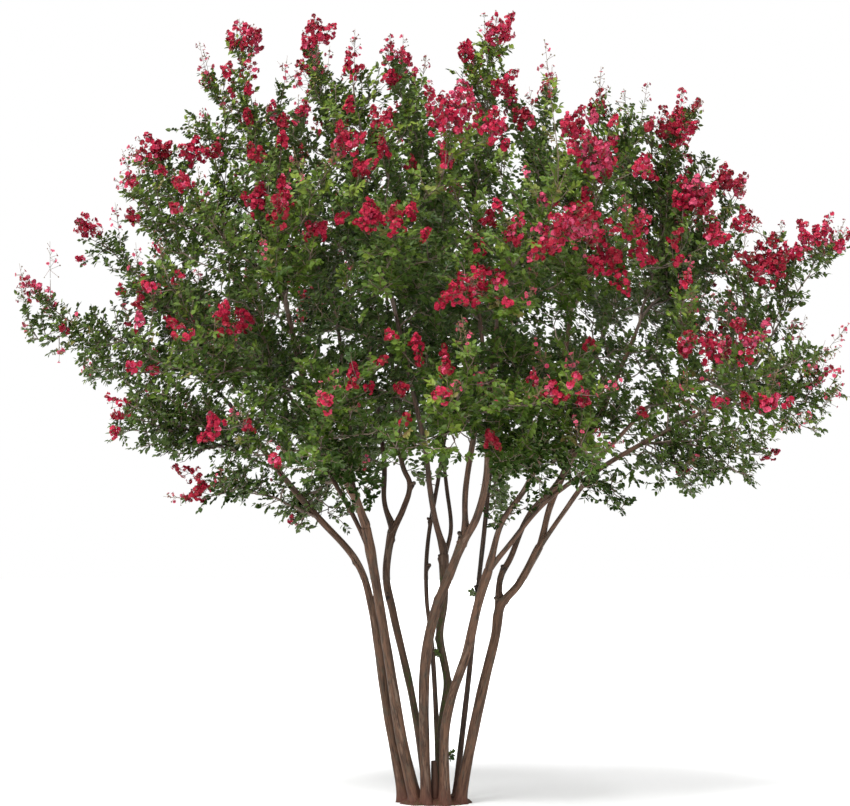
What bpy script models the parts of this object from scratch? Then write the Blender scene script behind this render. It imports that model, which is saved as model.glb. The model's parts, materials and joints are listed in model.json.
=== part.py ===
"""Crape myrtle: a clump of nine stems from one root crown, forking into boughs that carry flowering masses.

Metres, +Z up. The origin is in the middle of the clump, on the flat cut at ground level under the root crown.
X runs to the right and Y to the back of the plant's best side.
"""

import math
import random
from typing import NamedTuple

import bmesh
import bpy
import numpy as np
from mathutils import Matrix, Vector
from mathutils.bvhtree import BVHTree

# Driving dimensions
GAP = 0.0003  # clear space where one solid meets the next
STEM_FOOT = 0.13  # length of each stem that belongs to the root crown
RING_SPACING = 0.27  # between the rings of a limb
STEM_SIDES = 7
BOUGH_SIDES = 6
CROWN_RADIUS_X = 0.25
CROWN_RADIUS_Y = 0.19
CROWN_HEIGHT = 0.085
FLARE = 1.55  # a stem's widening where it runs into the ground

LEADER_RADIUS = 0.0085
LEADER_TIP_RADIUS = 0.0045
LEADER_SEAT = 0.0105  # how far from the middle of a bough's tip each of its leaders starts
TWIG_RADIUS = 0.005
TWIG_TIP_RADIUS = 0.0035
LEAF_LENGTH = 0.46
LEAF_WIDTH = 0.27
FEWER_LEAVES = 2  # dropped from a mass whose pieces do not join
LEADER_LEAVES = 6  # straight on a mass's leader
LEAF_THICKNESS = 0.009
PANICLE_LENGTH = 0.27
PANICLE_WIDTH = 0.17
SINK = 0.45  # how deep a root is sunk past the middle of its twig, as a share of the twig's radius
SPACE_MARGIN = 0.022  # kept between a mass's twigs and the border of its space
LIMB_MARGIN = 0.03  # kept between foliage and wood
GOLDEN_ANGLE = math.radians(137.5)
TWIG_SPAN = (0.28, 0.90)  # where twigs stand on a leader, as shares of its length
LEAF_SPAN = (0.22, 0.94)
LEAF_SIZES = (1.05, 0.95, 0.85, 0.72, 0.6)  # tried in turn until a leaf has room
TWIG_SIZES = (1, 0.75, 0.5)
UP = Vector((0, 0, 1))


class Limb(NamedTuple):
    """A stem or bough: where it starts, the bends on its way, and its thickness."""

    name: str
    parent: str  # "" for a stem from the ground
    share: float  # how far along its parent it starts; 1 is the parent's tip
    bends: tuple  # points after the start; the last is its tip
    radius: float
    tip_radius: float


class Mass(NamedTuple):
    """A mass of foliage: the limb that carries it, the tip of its leader, and how far its twigs spread."""

    name: str
    limb: str
    share: float
    tip: tuple
    spread: float
    lift: float  # how far its end turns up (+) or hangs (-)
    bloom: float  # share of its twigs that end in a panicle
    twigs: int


STEM_FEET = {
    "left_back_stem": (-0.20, 0.06),
    "left_front_stem": (-0.12, -0.08),
    "back_left_stem": (-0.04, 0.10),
    "centre_stem": (-0.05, -0.12),
    "thin_stem": (0.03, 0.00),
    "mossy_stem": (0.07, 0.11),
    "right_front_stem": (0.07, -0.14),
    "right_stem": (0.17, -0.05),
    "back_right_stem": (0.14, 0.07),
}

STEMS = (
    Limb("left_back_stem", "", 0, ((-0.32, 0.08, 0.64), (-0.42, 0.11, 1.28), (-0.53, 0.13, 1.62),
         (-0.80, 0.17, 1.93), (-1.05, 0.22, 2.22), (-1.44, 0.30, 2.74)), 0.036, 0.015),
    Limb("left_front_stem", "", 0, ((-0.22, -0.10, 0.45), (-0.32, -0.16, 1.06), (-0.39, -0.20, 1.49),
         (-0.46, -0.26, 1.87)), 0.039, 0.029),
    Limb("back_left_stem", "", 0, ((-0.14, 0.16, 0.66), (-0.28, 0.26, 1.26), (-0.33, 0.33, 1.53),
         (-0.29, 0.42, 1.87)), 0.026, 0.026),
    Limb("centre_stem", "", 0, ((-0.07, -0.15, 0.60), (-0.05, -0.19, 1.00), (0.01, -0.23, 1.30),
         (0.12, -0.28, 1.58), (0.21, -0.34, 1.80)), 0.037, 0.031),
    Limb("thin_stem", "", 0, ((0.02, 0.04, 0.45), (-0.01, 0.12, 1.02), (-0.05, 0.18, 1.39),
         (-0.04, 0.27, 1.77), (0.05, 0.42, 2.30), (0.14, 0.58, 2.95)), 0.018, 0.012),
    Limb("mossy_stem", "", 0, ((0.06, 0.13, 0.51), (0.09, 0.16, 0.80), (0.04, 0.19, 1.10),
         (0.07, 0.22, 1.36), (0.07, 0.24, 1.70)), 0.027, 0.029),
    Limb("right_front_stem", "", 0, ((0.07, -0.15, 0.45), (0.12, -0.17, 0.72), (0.22, -0.21, 1.02),
         (0.29, -0.25, 1.33), (0.37, -0.30, 1.59)), 0.035, 0.027),
    Limb("right_stem", "", 0, ((0.28, -0.05, 0.56), (0.41, -0.04, 1.09), (0.45, -0.04, 1.32),
         (0.58, -0.04, 1.48), (0.73, -0.04, 1.75)), 0.040, 0.025),
    Limb("back_right_stem", "", 0, ((0.20, 0.10, 0.51), (0.28, 0.21, 1.19), (0.35, 0.38, 1.81),
         (0.47, 0.75, 2.75), (0.62, 1.05, 3.40)), 0.020, 0.012),
)

BOUGHS = (
    Limb("left_front_bough", "left_front_stem", 1, ((-0.55, -0.32, 2.09), (-0.74, -0.46, 2.38),
         (-0.85, -0.62, 2.77), (-0.95, -0.80, 3.23)), 0.026, 0.016),
    Limb("left_thin_bough", "left_front_stem", 0.90, ((-0.55, -0.14, 1.94), (-0.71, 0.02, 2.22),
         (-1.02, 0.50, 2.80)), 0.017, 0.013),
    Limb("left_inner_bough", "left_front_bough", 0.12, ((-0.57, -0.15, 2.27), (-0.58, 0.05, 2.56),
         (-0.68, 0.45, 3.30)), 0.018, 0.012),
    Limb("back_left_bough", "back_left_stem", 1, ((-0.35, 0.50, 2.06), (-0.36, 0.70, 2.42),
         (-0.48, 1.15, 3.20)), 0.020, 0.014),
    Limb("crooked_bough", "back_left_stem", 0.97, ((-0.21, 0.42, 2.00), (-0.17, 0.42, 2.17),
         (-0.24, 0.44, 2.41), (-0.32, 0.55, 3.35)), 0.021, 0.012),
    Limb("centre_bough", "centre_stem", 1, ((0.21, -0.36, 2.10), (0.28, -0.38, 2.56), (0.33, -0.36, 2.96),
         (0.27, -0.30, 3.55)), 0.021, 0.013),
    Limb("front_bough", "centre_stem", 0.96, ((0.28, -0.44, 1.91), (0.34, -0.58, 2.17), (0.35, -0.80, 2.53),
         (0.39, -1.20, 3.10)), 0.025, 0.015),
    Limb("centre_left_bough", "mossy_stem", 1, ((0.01, 0.22, 1.91), (-0.03, 0.16, 2.15), (-0.07, 0.04, 2.45),
         (-0.26, -0.35, 3.29)), 0.021, 0.013),
    Limb("back_centre_bough", "mossy_stem", 0.97, ((0.12, 0.31, 1.86), (0.09, 0.42, 2.16), (0.05, 0.66, 2.57),
         (0.02, 1.20, 3.34)), 0.015, 0.012),
    Limb("right_front_bough", "right_front_stem", 1, ((0.45, -0.38, 1.88), (0.62, -0.50, 2.14),
         (0.78, -0.74, 2.57), (0.87, -1.05, 3.20)), 0.021, 0.014),
    Limb("right_low_bough", "right_front_stem", 0.98, ((0.49, -0.34, 1.72), (0.71, -0.44, 1.99),
         (1.02, -0.62, 2.24), (1.34, -0.85, 2.58)), 0.017, 0.013),
    Limb("right_inner_bough", "right_stem", 0.68, ((0.45, 0.00, 1.50), (0.53, 0.05, 1.66), (0.66, 0.16, 1.95),
         (0.93, 0.34, 2.30), (1.20, 0.65, 3.20)), 0.022, 0.013),
    Limb("right_upper_bough", "right_stem", 1, ((0.80, 0.05, 2.01), (0.95, 0.14, 2.32), (1.17, 0.20, 2.67),
         (1.42, 0.30, 3.23)), 0.023, 0.014),
    Limb("right_outer_bough", "right_stem", 0.97, ((0.87, -0.06, 1.94), (1.07, -0.09, 2.20),
         (1.34, -0.12, 2.38), (1.80, -0.15, 2.62)), 0.017, 0.014),
)

MASSES = (
    Mass("top_left_foliage", "left_front_bough", 1, (-1.33, -0.30, 5.10), 0.42, 0.5, 1.0, 4),
    Mass("top_left_back_foliage", "left_inner_bough", 1, (-1.15, 0.80, 4.80), 0.45, 0.4, 0.7, 4),
    Mass("top_left_inner_foliage", "crooked_bough", 1, (-0.87, 0.35, 5.26), 0.40, 0.4, 0.8, 4),
    Mass("top_centre_left_foliage", "centre_left_bough", 1, (-0.55, -0.40, 4.87), 0.45, 0.4, 0.6, 4),
    Mass("top_centre_foliage", "thin_stem", 1, (-0.18, 0.70, 5.12), 0.45, 0.4, 0.6, 4),
    Mass("top_peak_foliage", "centre_bough", 1, (0.40, -0.25, 5.12), 0.48, 0.4, 1.0, 4),
    Mass("top_right_spire_foliage", "back_right_stem", 1, (0.84, 1.00, 5.05), 0.45, 0.4, 0.6, 4),
    Mass("top_right_foliage", "right_front_bough", 1, (1.10, -0.50, 4.60), 0.50, 0.4, 1.0, 4),
    Mass("right_top_foliage", "right_upper_bough", 1, (1.72, 0.10, 4.68), 0.48, 0.4, 1.0, 4),
    Mass("left_shoulder_foliage", "left_front_bough", 1, (-1.90, -0.50, 4.25), 0.48, 0.4, 0.8, 4),
    Mass("right_shoulder_foliage", "right_upper_bough", 1, (2.16, 0.50, 4.25), 0.48, 0.3, 0.8, 4),
    Mass("left_upper_foliage", "left_thin_bough", 1, (-2.40, 0.45, 3.95), 0.45, 0.3, 0.6, 4),
    Mass("far_left_foliage", "left_back_stem", 1, (-2.74, 0.15, 3.44), 0.42, 0.2, 0.5, 4),
    Mass("far_right_foliage", "right_outer_bough", 1, (2.66, -0.10, 3.78), 0.45, 0.3, 0.8, 4),
    Mass("right_middle_foliage", "right_outer_bough", 1, (2.55, -0.10, 2.82), 0.42, 0.1, 0.4, 4),
    Mass("front_upper_left_foliage", "left_front_bough", 1, (-0.95, -1.75, 3.65), 0.52, 0.2, 0.6, 4),
    Mass("front_upper_centre_left_foliage", "centre_left_bough", 1, (-0.25, -1.95, 3.60), 0.52, 0.2, 0.6, 4),
    Mass("front_upper_centre_right_foliage", "front_bough", 1, (0.46, -2.10, 3.50), 0.52, 0.2, 0.8, 4),
    Mass("front_upper_right_foliage", "right_front_bough", 1, (1.18, -1.80, 3.55), 0.52, 0.2, 0.8, 4),
    Mass("front_right_foliage", "right_low_bough", 1, (1.85, -1.60, 2.80), 0.50, 0.1, 0.4, 4),
    Mass("front_low_right_foliage", "right_front_bough", 0.55, (0.80, -2.05, 2.62), 0.45, 0.0, 0.4, 4),
    Mass("front_low_centre_foliage", "front_bough", 0.50, (0.05, -2.15, 2.55), 0.45, 0.0, 0.3, 4),
    Mass("front_low_left_foliage", "left_front_bough", 0.30, (-0.65, -1.90, 2.52), 0.45, 0.0, 0.4, 4),
    Mass("front_left_foliage", "left_front_bough", 0.60, (-1.50, -1.60, 2.95), 0.50, 0.1, 0.4, 4),
    Mass("back_left_foliage", "left_thin_bough", 1, (-1.87, 1.70, 3.65), 0.52, 0.2, 0.5, 4),
    Mass("back_centre_left_foliage", "back_left_bough", 1, (-1.05, 2.15, 4.05), 0.52, 0.2, 0.5, 4),
    Mass("back_centre_foliage", "back_centre_bough", 1, (-0.02, 2.30, 4.30), 0.55, 0.3, 0.6, 4),
    Mass("back_centre_right_foliage", "back_right_stem", 1, (1.02, 2.20, 4.15), 0.52, 0.2, 0.5, 4),
    Mass("back_right_foliage", "right_inner_bough", 1, (2.00, 1.75, 3.90), 0.52, 0.2, 0.5, 4),
    Mass("low_left_foliage", "left_back_stem", 0.80, (-2.02, -0.20, 2.59), 0.40, 0.0, 0.4, 4),
    Mass("low_left_hanging_foliage", "left_back_stem", 0.66, (-1.55, -0.20, 2.17), 0.28, -0.2, 0.4, 3),
    Mass("small_left_hanging_foliage", "left_thin_bough", 0.40, (-0.94, 0.50, 1.97), 0.22, -0.3, 0.2, 2),
    Mass("low_right_foliage", "right_outer_bough", 0.70, (2.25, 0.20, 2.36), 0.38, 0.0, 0.3, 4),
    Mass("low_right_hanging_foliage", "right_outer_bough", 0.40, (1.24, -0.30, 2.05), 0.22, -0.2, 0.0, 3),
    Mass("low_back_left_foliage", "back_left_bough", 0.30, (-0.80, 1.60, 2.50), 0.45, 0.0, 0.1, 4),
    Mass("low_back_right_foliage", "back_right_stem", 0.60, (0.75, 1.70, 2.45), 0.45, 0.0, 0.1, 4),
)


# Curves


def smooth_path(points, steps=8):
    """A Catmull-Rom curve through the points."""
    points = [Vector(p) for p in points]
    ends = [2 * points[0] - points[1], *points, 2 * points[-1] - points[-2]]
    path = []
    for a, b, c, d in zip(ends, ends[1:], ends[2:], ends[3:]):
        for k in range(steps):
            t = k / steps
            path.append(0.5 * (2 * b + (c - a) * t + (2 * a - 5 * b + 4 * c - d) * t**2
                               + (3 * b - a - 3 * c + d) * t**3))
    path.append(points[-1])
    return path


def path_length(path):
    return sum((b - a).length for a, b in zip(path, path[1:]))


def point_at(path, distance):
    """The point that far along the path, and the path's direction there."""
    for a, b in zip(path, path[1:]):
        step = (b - a).length
        if distance <= step:
            break
        distance -= step
    else:
        distance = step
    direction = (b - a).normalized()
    return a + direction * distance, direction


def resampled(path, start, end, spacing):
    count = max(2, round((end - start) / spacing))
    return [point_at(path, start + (end - start) * k / count)[0] for k in range(count + 1)]


def leader_path(start, heading, tip, lift, points=5):
    """A cubic curve that leaves along heading and reaches tip, turned up or down by lift."""
    reach = (tip - start).length
    arrival = ((tip - start) / reach + lift * UP).normalized()
    near, far = start + heading * reach * 0.30, tip - arrival * reach * 0.35
    path = []
    for k in range(points):
        t = k / (points - 1)
        early = (1 - t) ** 3 * start + 3 * t * (1 - t) ** 2 * near
        path.append(early + 3 * t**2 * (1 - t) * far + t**3 * tip)
    return path


# Shapes


def object_from(bm, name, collection, *materials):
    mesh = bpy.data.meshes.new(name)
    bm.to_mesh(mesh)
    bm.free()
    for material in materials:
        mesh.materials.append(material)
    made = bpy.data.objects.new(name, mesh)
    collection.objects.link(made)
    return made


def ring_matrices(path, radii, first=None, last=None):
    """One placing matrix for each ring of a tube, turned along the path with no twist."""
    ways = [(b - a).normalized() for a, b in zip(path, path[1:])]
    headings = [first or ways[0], *[(a + b).normalized() for a, b in zip(ways, ways[1:])], last or ways[-1]]
    side = headings[0].orthogonal().normalized()
    matrices = []
    for centre, heading, radius in zip(path, headings, radii):
        side = (side - heading * side.dot(heading)).normalized()
        turn = Matrix((side, heading.cross(side), heading)).transposed().to_4x4()
        matrices.append(Matrix.Translation(centre) @ turn @ Matrix.Diagonal((radius, radius, radius, 1)))
    return matrices


def tube_mesh(path, radii, sides, first=None, last=None):
    """A closed tube: a disc drawn along the path by extruding its face from ring to ring."""
    matrices = ring_matrices(path, radii, first, last)
    bm = bmesh.new()
    made = bmesh.ops.create_circle(bm, cap_ends=True, segments=sides, radius=1)
    bmesh.ops.transform(bm, matrix=matrices[0], verts=made["verts"])
    face = bm.faces[:][0]
    for before, after in zip(matrices, matrices[1:]):
        grown = bmesh.ops.extrude_face_region(bm, geom=[face, *face.edges, *face.verts])["geom"]
        corners = [g for g in grown if isinstance(g, bmesh.types.BMVert)]
        face = next(g for g in grown if isinstance(g, bmesh.types.BMFace))
        bmesh.ops.transform(bm, matrix=after @ before.inverted(), verts=corners)
    bmesh.ops.recalc_face_normals(bm, faces=bm.faces)
    return bm


def between(ends, share):
    return ends[0] + (ends[1] - ends[0]) * share


def taper(radius, tip_radius, count):
    return [between((radius, tip_radius), k / (count - 1)) for k in range(count)]


def leaf_mesh(root, way, normal, size):
    """A blade of eight faces from its root along way, widest below its middle."""
    bm = bmesh.new()
    bmesh.ops.create_uvsphere(bm, u_segments=4, v_segments=2, radius=0.5)
    for v in bm.verts:
        if abs(v.co.z) < 0.1:
            v.co.z -= 0.06
    side = way.cross(normal).normalized()
    turn = Matrix((side, way.cross(side), way)).transposed().to_4x4()
    sizes = Matrix.Diagonal((LEAF_WIDTH * size, LEAF_THICKNESS, LEAF_LENGTH * size, 1))
    centre = root + way * LEAF_LENGTH * size / 2
    bmesh.ops.transform(bm, matrix=Matrix.Translation(centre) @ turn @ sizes, verts=bm.verts)
    return bm


def panicle_mesh(root, way, size, rng):
    """A lumpy spindle of blossom, fuller below its middle and narrowing to its tip."""
    bm = bmesh.new()
    bmesh.ops.create_uvsphere(bm, u_segments=5, v_segments=3, radius=0.5)
    for v in bm.verts:
        fullness = 1.45 - 0.9 * (v.co.z + 0.5)
        v.co.x *= fullness * rng.uniform(0.88, 1.12)
        v.co.y *= fullness * rng.uniform(0.88, 1.12)
    turn = way.to_track_quat("Z", "Y").to_matrix().to_4x4()
    sizes = Matrix.Diagonal((PANICLE_WIDTH * size, PANICLE_WIDTH * size, PANICLE_LENGTH * size, 1))
    centre = root + way * PANICLE_LENGTH * size * 0.40
    bmesh.ops.transform(bm, matrix=Matrix.Translation(centre) @ turn @ sizes, verts=bm.verts)
    return bm


# Booleans


def apply_boolean(target, operation, solver="EXACT", cutter=None, collection=None):
    """Applies one Boolean to target and gives it the result as its mesh."""
    modifier = target.modifiers.new(operation.lower(), "BOOLEAN")
    modifier.operation = operation
    modifier.solver = solver
    if collection:
        modifier.operand_type = "COLLECTION"
        modifier.collection = collection
    else:
        modifier.object = cutter
    if solver == "EXACT":
        modifier.material_mode = "TRANSFER"
    bpy.context.view_layer.update()
    evaluated = target.evaluated_get(bpy.context.evaluated_depsgraph_get())
    result = bpy.data.meshes.new_from_object(evaluated)
    target.modifiers.clear()
    old, target.data = target.data, result
    bpy.data.meshes.remove(old)


def remove_objects(objects):
    for obj in list(objects):
        mesh = obj.data
        bpy.data.objects.remove(obj)
        bpy.data.meshes.remove(mesh)


def keep_outer_shell(obj):
    """Drops loose scraps and sealed hollows, so that only the largest shell is left. True if it is closed."""
    bm = bmesh.new()
    bm.from_mesh(obj.data)
    bmesh.ops.triangulate(bm, faces=bm.faces)
    bmesh.ops.remove_doubles(bm, verts=bm.verts, dist=1e-6)
    unseen = set(bm.verts)
    shells = []
    while unseen:
        front = [unseen.pop()]
        shell = set(front)
        while front:
            near = {e.other_vert(v) for v in front for e in v.link_edges} - shell
            shell |= near
            front = list(near)
        unseen -= shell
        shells.append(shell)
    shells.sort(key=len)
    bmesh.ops.delete(bm, geom=[v for shell in shells[:-1] for v in shell], context="VERTS")
    closed = all(len(e.link_faces) == 2 for e in bm.edges)
    bm.to_mesh(obj.data)
    bm.free()
    return closed and len(shells[-1]) > 3


# Materials


def plain_material(name, colour, roughness):
    material = bpy.data.materials.new(name)
    material.use_nodes = True
    shader = material.node_tree.nodes["Principled BSDF"]
    shader.inputs["Base Color"].default_value = (*colour, 1)
    shader.inputs["Roughness"].default_value = roughness
    shader.inputs["Metallic"].default_value = 0
    material.diffuse_color = (*colour, 1)
    return material


# Wood


def limb_path(limb, paths):
    if not limb.parent:
        x, y = STEM_FEET[limb.name]
        start = Vector((x, y, 0))
    else:
        parent = paths[limb.parent]
        start, _ = point_at(parent, path_length(parent) * limb.share)
    return smooth_path([start, *limb.bends])


def build_limb(limb, path, parent_heading, collection, material, sides, extra=0.0):
    """The limb's solid. extra thickens it all round, for a cutter."""
    total = path_length(path)
    start = STEM_FOOT + GAP if not limb.parent else GAP if limb.share == 1 else 0
    rings = resampled(path, start, total, RING_SPACING)
    first = parent_heading if limb.parent and limb.share == 1 else point_at(path, start)[1]
    radii = [r + extra for r in taper(limb.radius, limb.tip_radius, len(rings))]
    last = point_at(path, total)[1]
    if extra:
        rings[0] = rings[0] - first * extra
        rings[-1] = rings[-1] + last * extra
    return object_from(tube_mesh(rings, radii, sides, first, last), limb.name, collection, material)


def build_wood(collection, cutters, bark):
    """Every limb as a solid, cut clear of those it springs from, and a thicker copy. Gives their curves."""
    paths = {}
    solids = {}
    clear = GAP / math.cos(math.pi / BOUGH_SIDES)
    for limb in (*STEMS, *BOUGHS):
        paths[limb.name] = path = limb_path(limb, paths)
        heading = point_at(paths[limb.parent], path_length(paths[limb.parent]))[1] if limb.parent else None
        sides = BOUGH_SIDES if limb.parent else STEM_SIDES
        solids[limb.name] = build_limb(limb, path, heading, collection, bark, sides)
        cutter = build_limb(limb, path, heading, cutters, bark, sides, extra=clear)
        cutter.name = limb.name + "_clearance"
    for limb in BOUGHS:
        if limb.share == 1:
            continue
        beside = [b.name for b in BOUGHS if b.parent == limb.parent and b.share == 1]
        for other in [limb.parent, *beside]:
            apply_boolean(solids[limb.name], "DIFFERENCE", cutter=cutters.objects[other + "_clearance"])
            keep_outer_shell(solids[limb.name])
    return paths


def build_root_crown(paths, collection, bark):
    """A low mound that the stems rise from, each on a flared foot with a flat seat."""
    feet = bpy.data.collections.new("feet")
    bpy.context.scene.collection.children.link(feet)
    for limb in STEMS:
        path = paths[limb.name]
        start, heading = point_at(path, 0)
        seat, last = point_at(path, STEM_FOOT)
        rings = [start - heading * 0.04, start + (seat - start) * 0.4, seat]
        radii = [limb.radius * FLARE, limb.radius * 1.22, limb.radius]
        object_from(tube_mesh(rings, radii, STEM_SIDES, heading, last), limb.name + "_foot", feet, bark)
    bm = bmesh.new()
    bmesh.ops.create_uvsphere(bm, u_segments=12, v_segments=6, radius=1)
    sizes = Matrix.Diagonal((CROWN_RADIUS_X, CROWN_RADIUS_Y, CROWN_HEIGHT, 1))
    bmesh.ops.transform(bm, matrix=sizes, verts=bm.verts)
    crown = object_from(bm, "root_crown", collection, bark)
    apply_boolean(crown, "UNION", collection=feet)
    keep_outer_shell(crown)
    remove_objects(feet.objects)
    bpy.data.collections.remove(feet)
    bm = bmesh.new()
    bm.from_mesh(crown.data)
    cut = bmesh.ops.bisect_plane(bm, geom=[*bm.verts, *bm.edges, *bm.faces], plane_co=(0, 0, 0),
                                 plane_no=(0, 0, -1), clear_outer=True)["geom_cut"]
    rim = [g for g in cut if isinstance(g, bmesh.types.BMEdge)]
    bmesh.ops.holes_fill(bm, edges=rim, sides=0)
    bmesh.ops.recalc_face_normals(bm, faces=bm.faces)
    bm.to_mesh(crown.data)
    bm.free()
    return crown


# Foliage


class Space:
    """The air each mass may grow in: nearer to its own leader than to any other, and clear of the wood."""

    def __init__(self, leaders, paths, limbs):
        self.starts, self.ways, self.owners = self.segments(leaders)
        self.limbs = self.segments(paths)
        self.radii = np.array([max(limbs[name].radius, limbs[name].tip_radius) for name in self.limbs[2]])

    @staticmethod
    def segments(paths):
        pieces = [(a, b - a, name) for name, path in paths.items() for a, b in zip(path, path[1:])]
        return np.array([p[0] for p in pieces]), np.array([p[1] for p in pieces]), [p[2] for p in pieces]

    @staticmethod
    def distances(points, starts, ways):
        offset = points[:, None, :] - starts[None]
        share = np.clip((offset * ways).sum(2) / (ways * ways).sum(1), 0, 1)
        return np.linalg.norm(offset - share[..., None] * ways, axis=2)

    def holds(self, owner, points):
        points = np.array(points)
        gaps = self.distances(points, self.starts, self.ways)
        own = np.array([name == owner for name in self.owners])
        inside = gaps[:, own].min(1) + SPACE_MARGIN < gaps[:, ~own].min(1)
        wood = self.distances(points, self.limbs[0], self.limbs[1]) - self.radii
        return bool(inside.all() and wood.min() > LIMB_MARGIN)


def points_of(bm):
    """The corners and the middles of the edges."""
    return [v.co.copy() for v in bm.verts] + [(e.verts[0].co + e.verts[1].co) / 2 for e in bm.edges]


def crown_width(share):
    """How far twigs reach at that share of the leader: most below its middle, and less at its tip."""
    return math.sin(math.pi * min(1, share) ** 0.8) ** 0.7 * 0.85 + 0.22 * share


class Growth:
    """One mass of foliage as it grows: its leader, the pieces to fuse on, and the random choices."""

    def __init__(self, mass, leader, space, materials, rng):
        self.mass = mass
        self.leader = leader
        self.length = path_length(leader)
        self.space = space
        self.materials = materials
        self.rng = rng
        self.trees = {}
        self.pieces = bpy.data.collections.new("pieces")
        bpy.context.scene.collection.children.link(self.pieces)

    def add(self, bm, material, carrier, skip=0):
        """Keeps the piece if it stays in the mass's space and meets no piece but its carrier. Gives its name.

        Its first corners may be left out of the test, where they are inside the leader.
        """
        tree = BVHTree.FromBMesh(bm)
        meets = any(tree.overlap(other) for name, other in self.trees.items() if name != carrier)
        if meets or not self.space.holds(self.mass.name, points_of(bm)[skip:]):
            bm.free()
            return None
        name = object_from(bm, material + "_piece", self.pieces, self.materials[material]).name
        self.trees[name] = tree
        return name

    def leaf(self, carrier, root, along, turn, radius):
        """A leaf that leaves root at an angle to along, turned about it, facing out of the crown and up."""
        for size in LEAF_SIZES:
            across = along.orthogonal().normalized()
            out = Matrix.Rotation(turn + self.rng.uniform(-0.6, 0.6), 3, along) @ across
            way = (along * 0.5 + out + UP * self.rng.uniform(-0.2, 0.2)).normalized()
            face = Vector((root.x, root.y, 0)).normalized() + UP * self.rng.uniform(0.2, 1.0)
            if self.add(leaf_mesh(root - way * radius * SINK, way, face.normalized(), size), "leaf", carrier):
                return

    def end(self, carrier, tip, way, radius, blooms):
        """A panicle on the tip or, where it has no room or the twig doesn't bloom, a leaf."""
        size = self.rng.uniform(0.85, 1.15)
        panicle_way = (way + UP * 0.4).normalized()
        if blooms and self.add(panicle_mesh(tip, panicle_way, size, self.rng), "blossom", carrier):
            return
        self.leaf(carrier, tip - way * radius, way, self.rng.uniform(0, 2 * math.pi), radius)

    def twig(self, share, turn):
        """A side twig that carries a leaf, and ends in a panicle or another leaf."""
        start, heading = point_at(self.leader, self.length * share)
        out = Matrix.Rotation(turn, 3, heading) @ heading.orthogonal().normalized()
        way = (out + heading * 0.55 + UP * (0.35 + self.mass.lift * 0.3)).normalized()
        for shrink in TWIG_SIZES:
            reach = self.mass.spread * crown_width(share) * shrink
            end = start + way * reach
            tube = tube_mesh([start, end], [TWIG_RADIUS, TWIG_TIP_RADIUS], 3)
            name = self.add(tube, "bark", "leader", skip=3)
            if name:
                break
        else:
            return
        self.leaf(name, start + way * reach * 0.6, way, self.rng.uniform(0, 2 * math.pi), TWIG_TIP_RADIUS)
        self.end(name, end, way, TWIG_TIP_RADIUS, self.rng.random() < self.mass.bloom)

    def fuse(self, node):
        """Joins every piece to the node and empties the collection."""
        before = node.data
        while not self.joined(node, before):
            remove_objects(self.pieces.objects[-FEWER_LEAVES:])
        bpy.data.meshes.remove(before)
        remove_objects(self.pieces.objects)
        bpy.data.collections.remove(self.pieces)

    def joined(self, node, before):
        """Tries each solver until one joins the pieces to the node as one closed shell."""
        for solver in ("EXACT", "MANIFOLD"):
            node.data = before.copy()
            apply_boolean(node, "UNION", solver, collection=self.pieces)
            if keep_outer_shell(node):
                return True
        return False


def grow_mass(mass, leader, heading, space, wood, cutters, materials, rng):
    """One mass of foliage as one solid: its leader with twigs, leaves and panicles fused on."""
    radii = taper(LEADER_RADIUS, LEADER_TIP_RADIUS, len(leader))
    node = object_from(tube_mesh(leader, radii, 3, heading), mass.name, wood, materials["bark"])
    if mass.share < 1:
        apply_boolean(node, "DIFFERENCE", cutter=cutters.objects[mass.limb + "_clearance"])
        keep_outer_shell(node)
    growth = Growth(mass, leader, space, materials, rng)
    growth.trees["leader"] = BVHTree.FromPolygons([v.co for v in node.data.vertices],
                                                  [p.vertices for p in node.data.polygons])
    tip, way = point_at(leader, growth.length)
    growth.end("leader", tip, way, LEADER_TIP_RADIUS, mass.bloom > 0.3)
    phase = rng.uniform(0, 2 * math.pi)
    for k in range(mass.twigs):
        growth.twig(between(TWIG_SPAN, k / mass.twigs), phase + k * GOLDEN_ANGLE)
    for k in range(LEADER_LEAVES):
        share = between(LEAF_SPAN, k / LEADER_LEAVES)
        root, along = point_at(leader, growth.length * share)
        radius = between((LEADER_RADIUS, LEADER_TIP_RADIUS), share)
        growth.leaf("leader", root, along, phase + (k + 0.5) * GOLDEN_ANGLE, radius)
    growth.fuse(node)
    return node


def seats_of(limb, paths):
    """Where each leader on the limb's tip starts: at its middle, or evenly round it, each where it leans."""
    path = paths[limb]
    foot, heading = point_at(path, path_length(path))
    across = heading.orthogonal().normalized()
    over = heading.cross(across)
    masses = [m for m in MASSES if m.limb == limb and m.share == 1]
    if len(masses) == 1:
        return {masses[0].name: foot + heading * GAP}
    aims = {m.name: Vector(m.tip) - foot for m in masses}
    angles = sorted((math.atan2(aim.dot(over), aim.dot(across)), name) for name, aim in aims.items())
    step = 2 * math.pi / len(angles)
    lags = [angle - k * step for k, (angle, _) in enumerate(angles)]
    phase = math.atan2(sum(map(math.sin, lags)), sum(map(math.cos, lags)))
    seats = {}
    for k, (_, name) in enumerate(angles):
        turn = phase + k * step
        aside = across * math.cos(turn) + over * math.sin(turn)
        seats[name] = foot + heading * GAP + aside * LEADER_SEAT
    return seats


def leader_of(mass, paths, seats):
    """The leader's curve, from its seat on its limb's tip or, on a flank, from the limb's axis."""
    path = paths[mass.limb]
    foot, heading = point_at(path, path_length(path) * mass.share)
    tip = Vector(mass.tip)
    if mass.share == 1:
        return leader_path(seats[mass.name], heading, tip, mass.lift)
    return leader_path(foot, ((tip - foot).normalized() + heading * 0.4).normalized(), tip, mass.lift)


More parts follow.
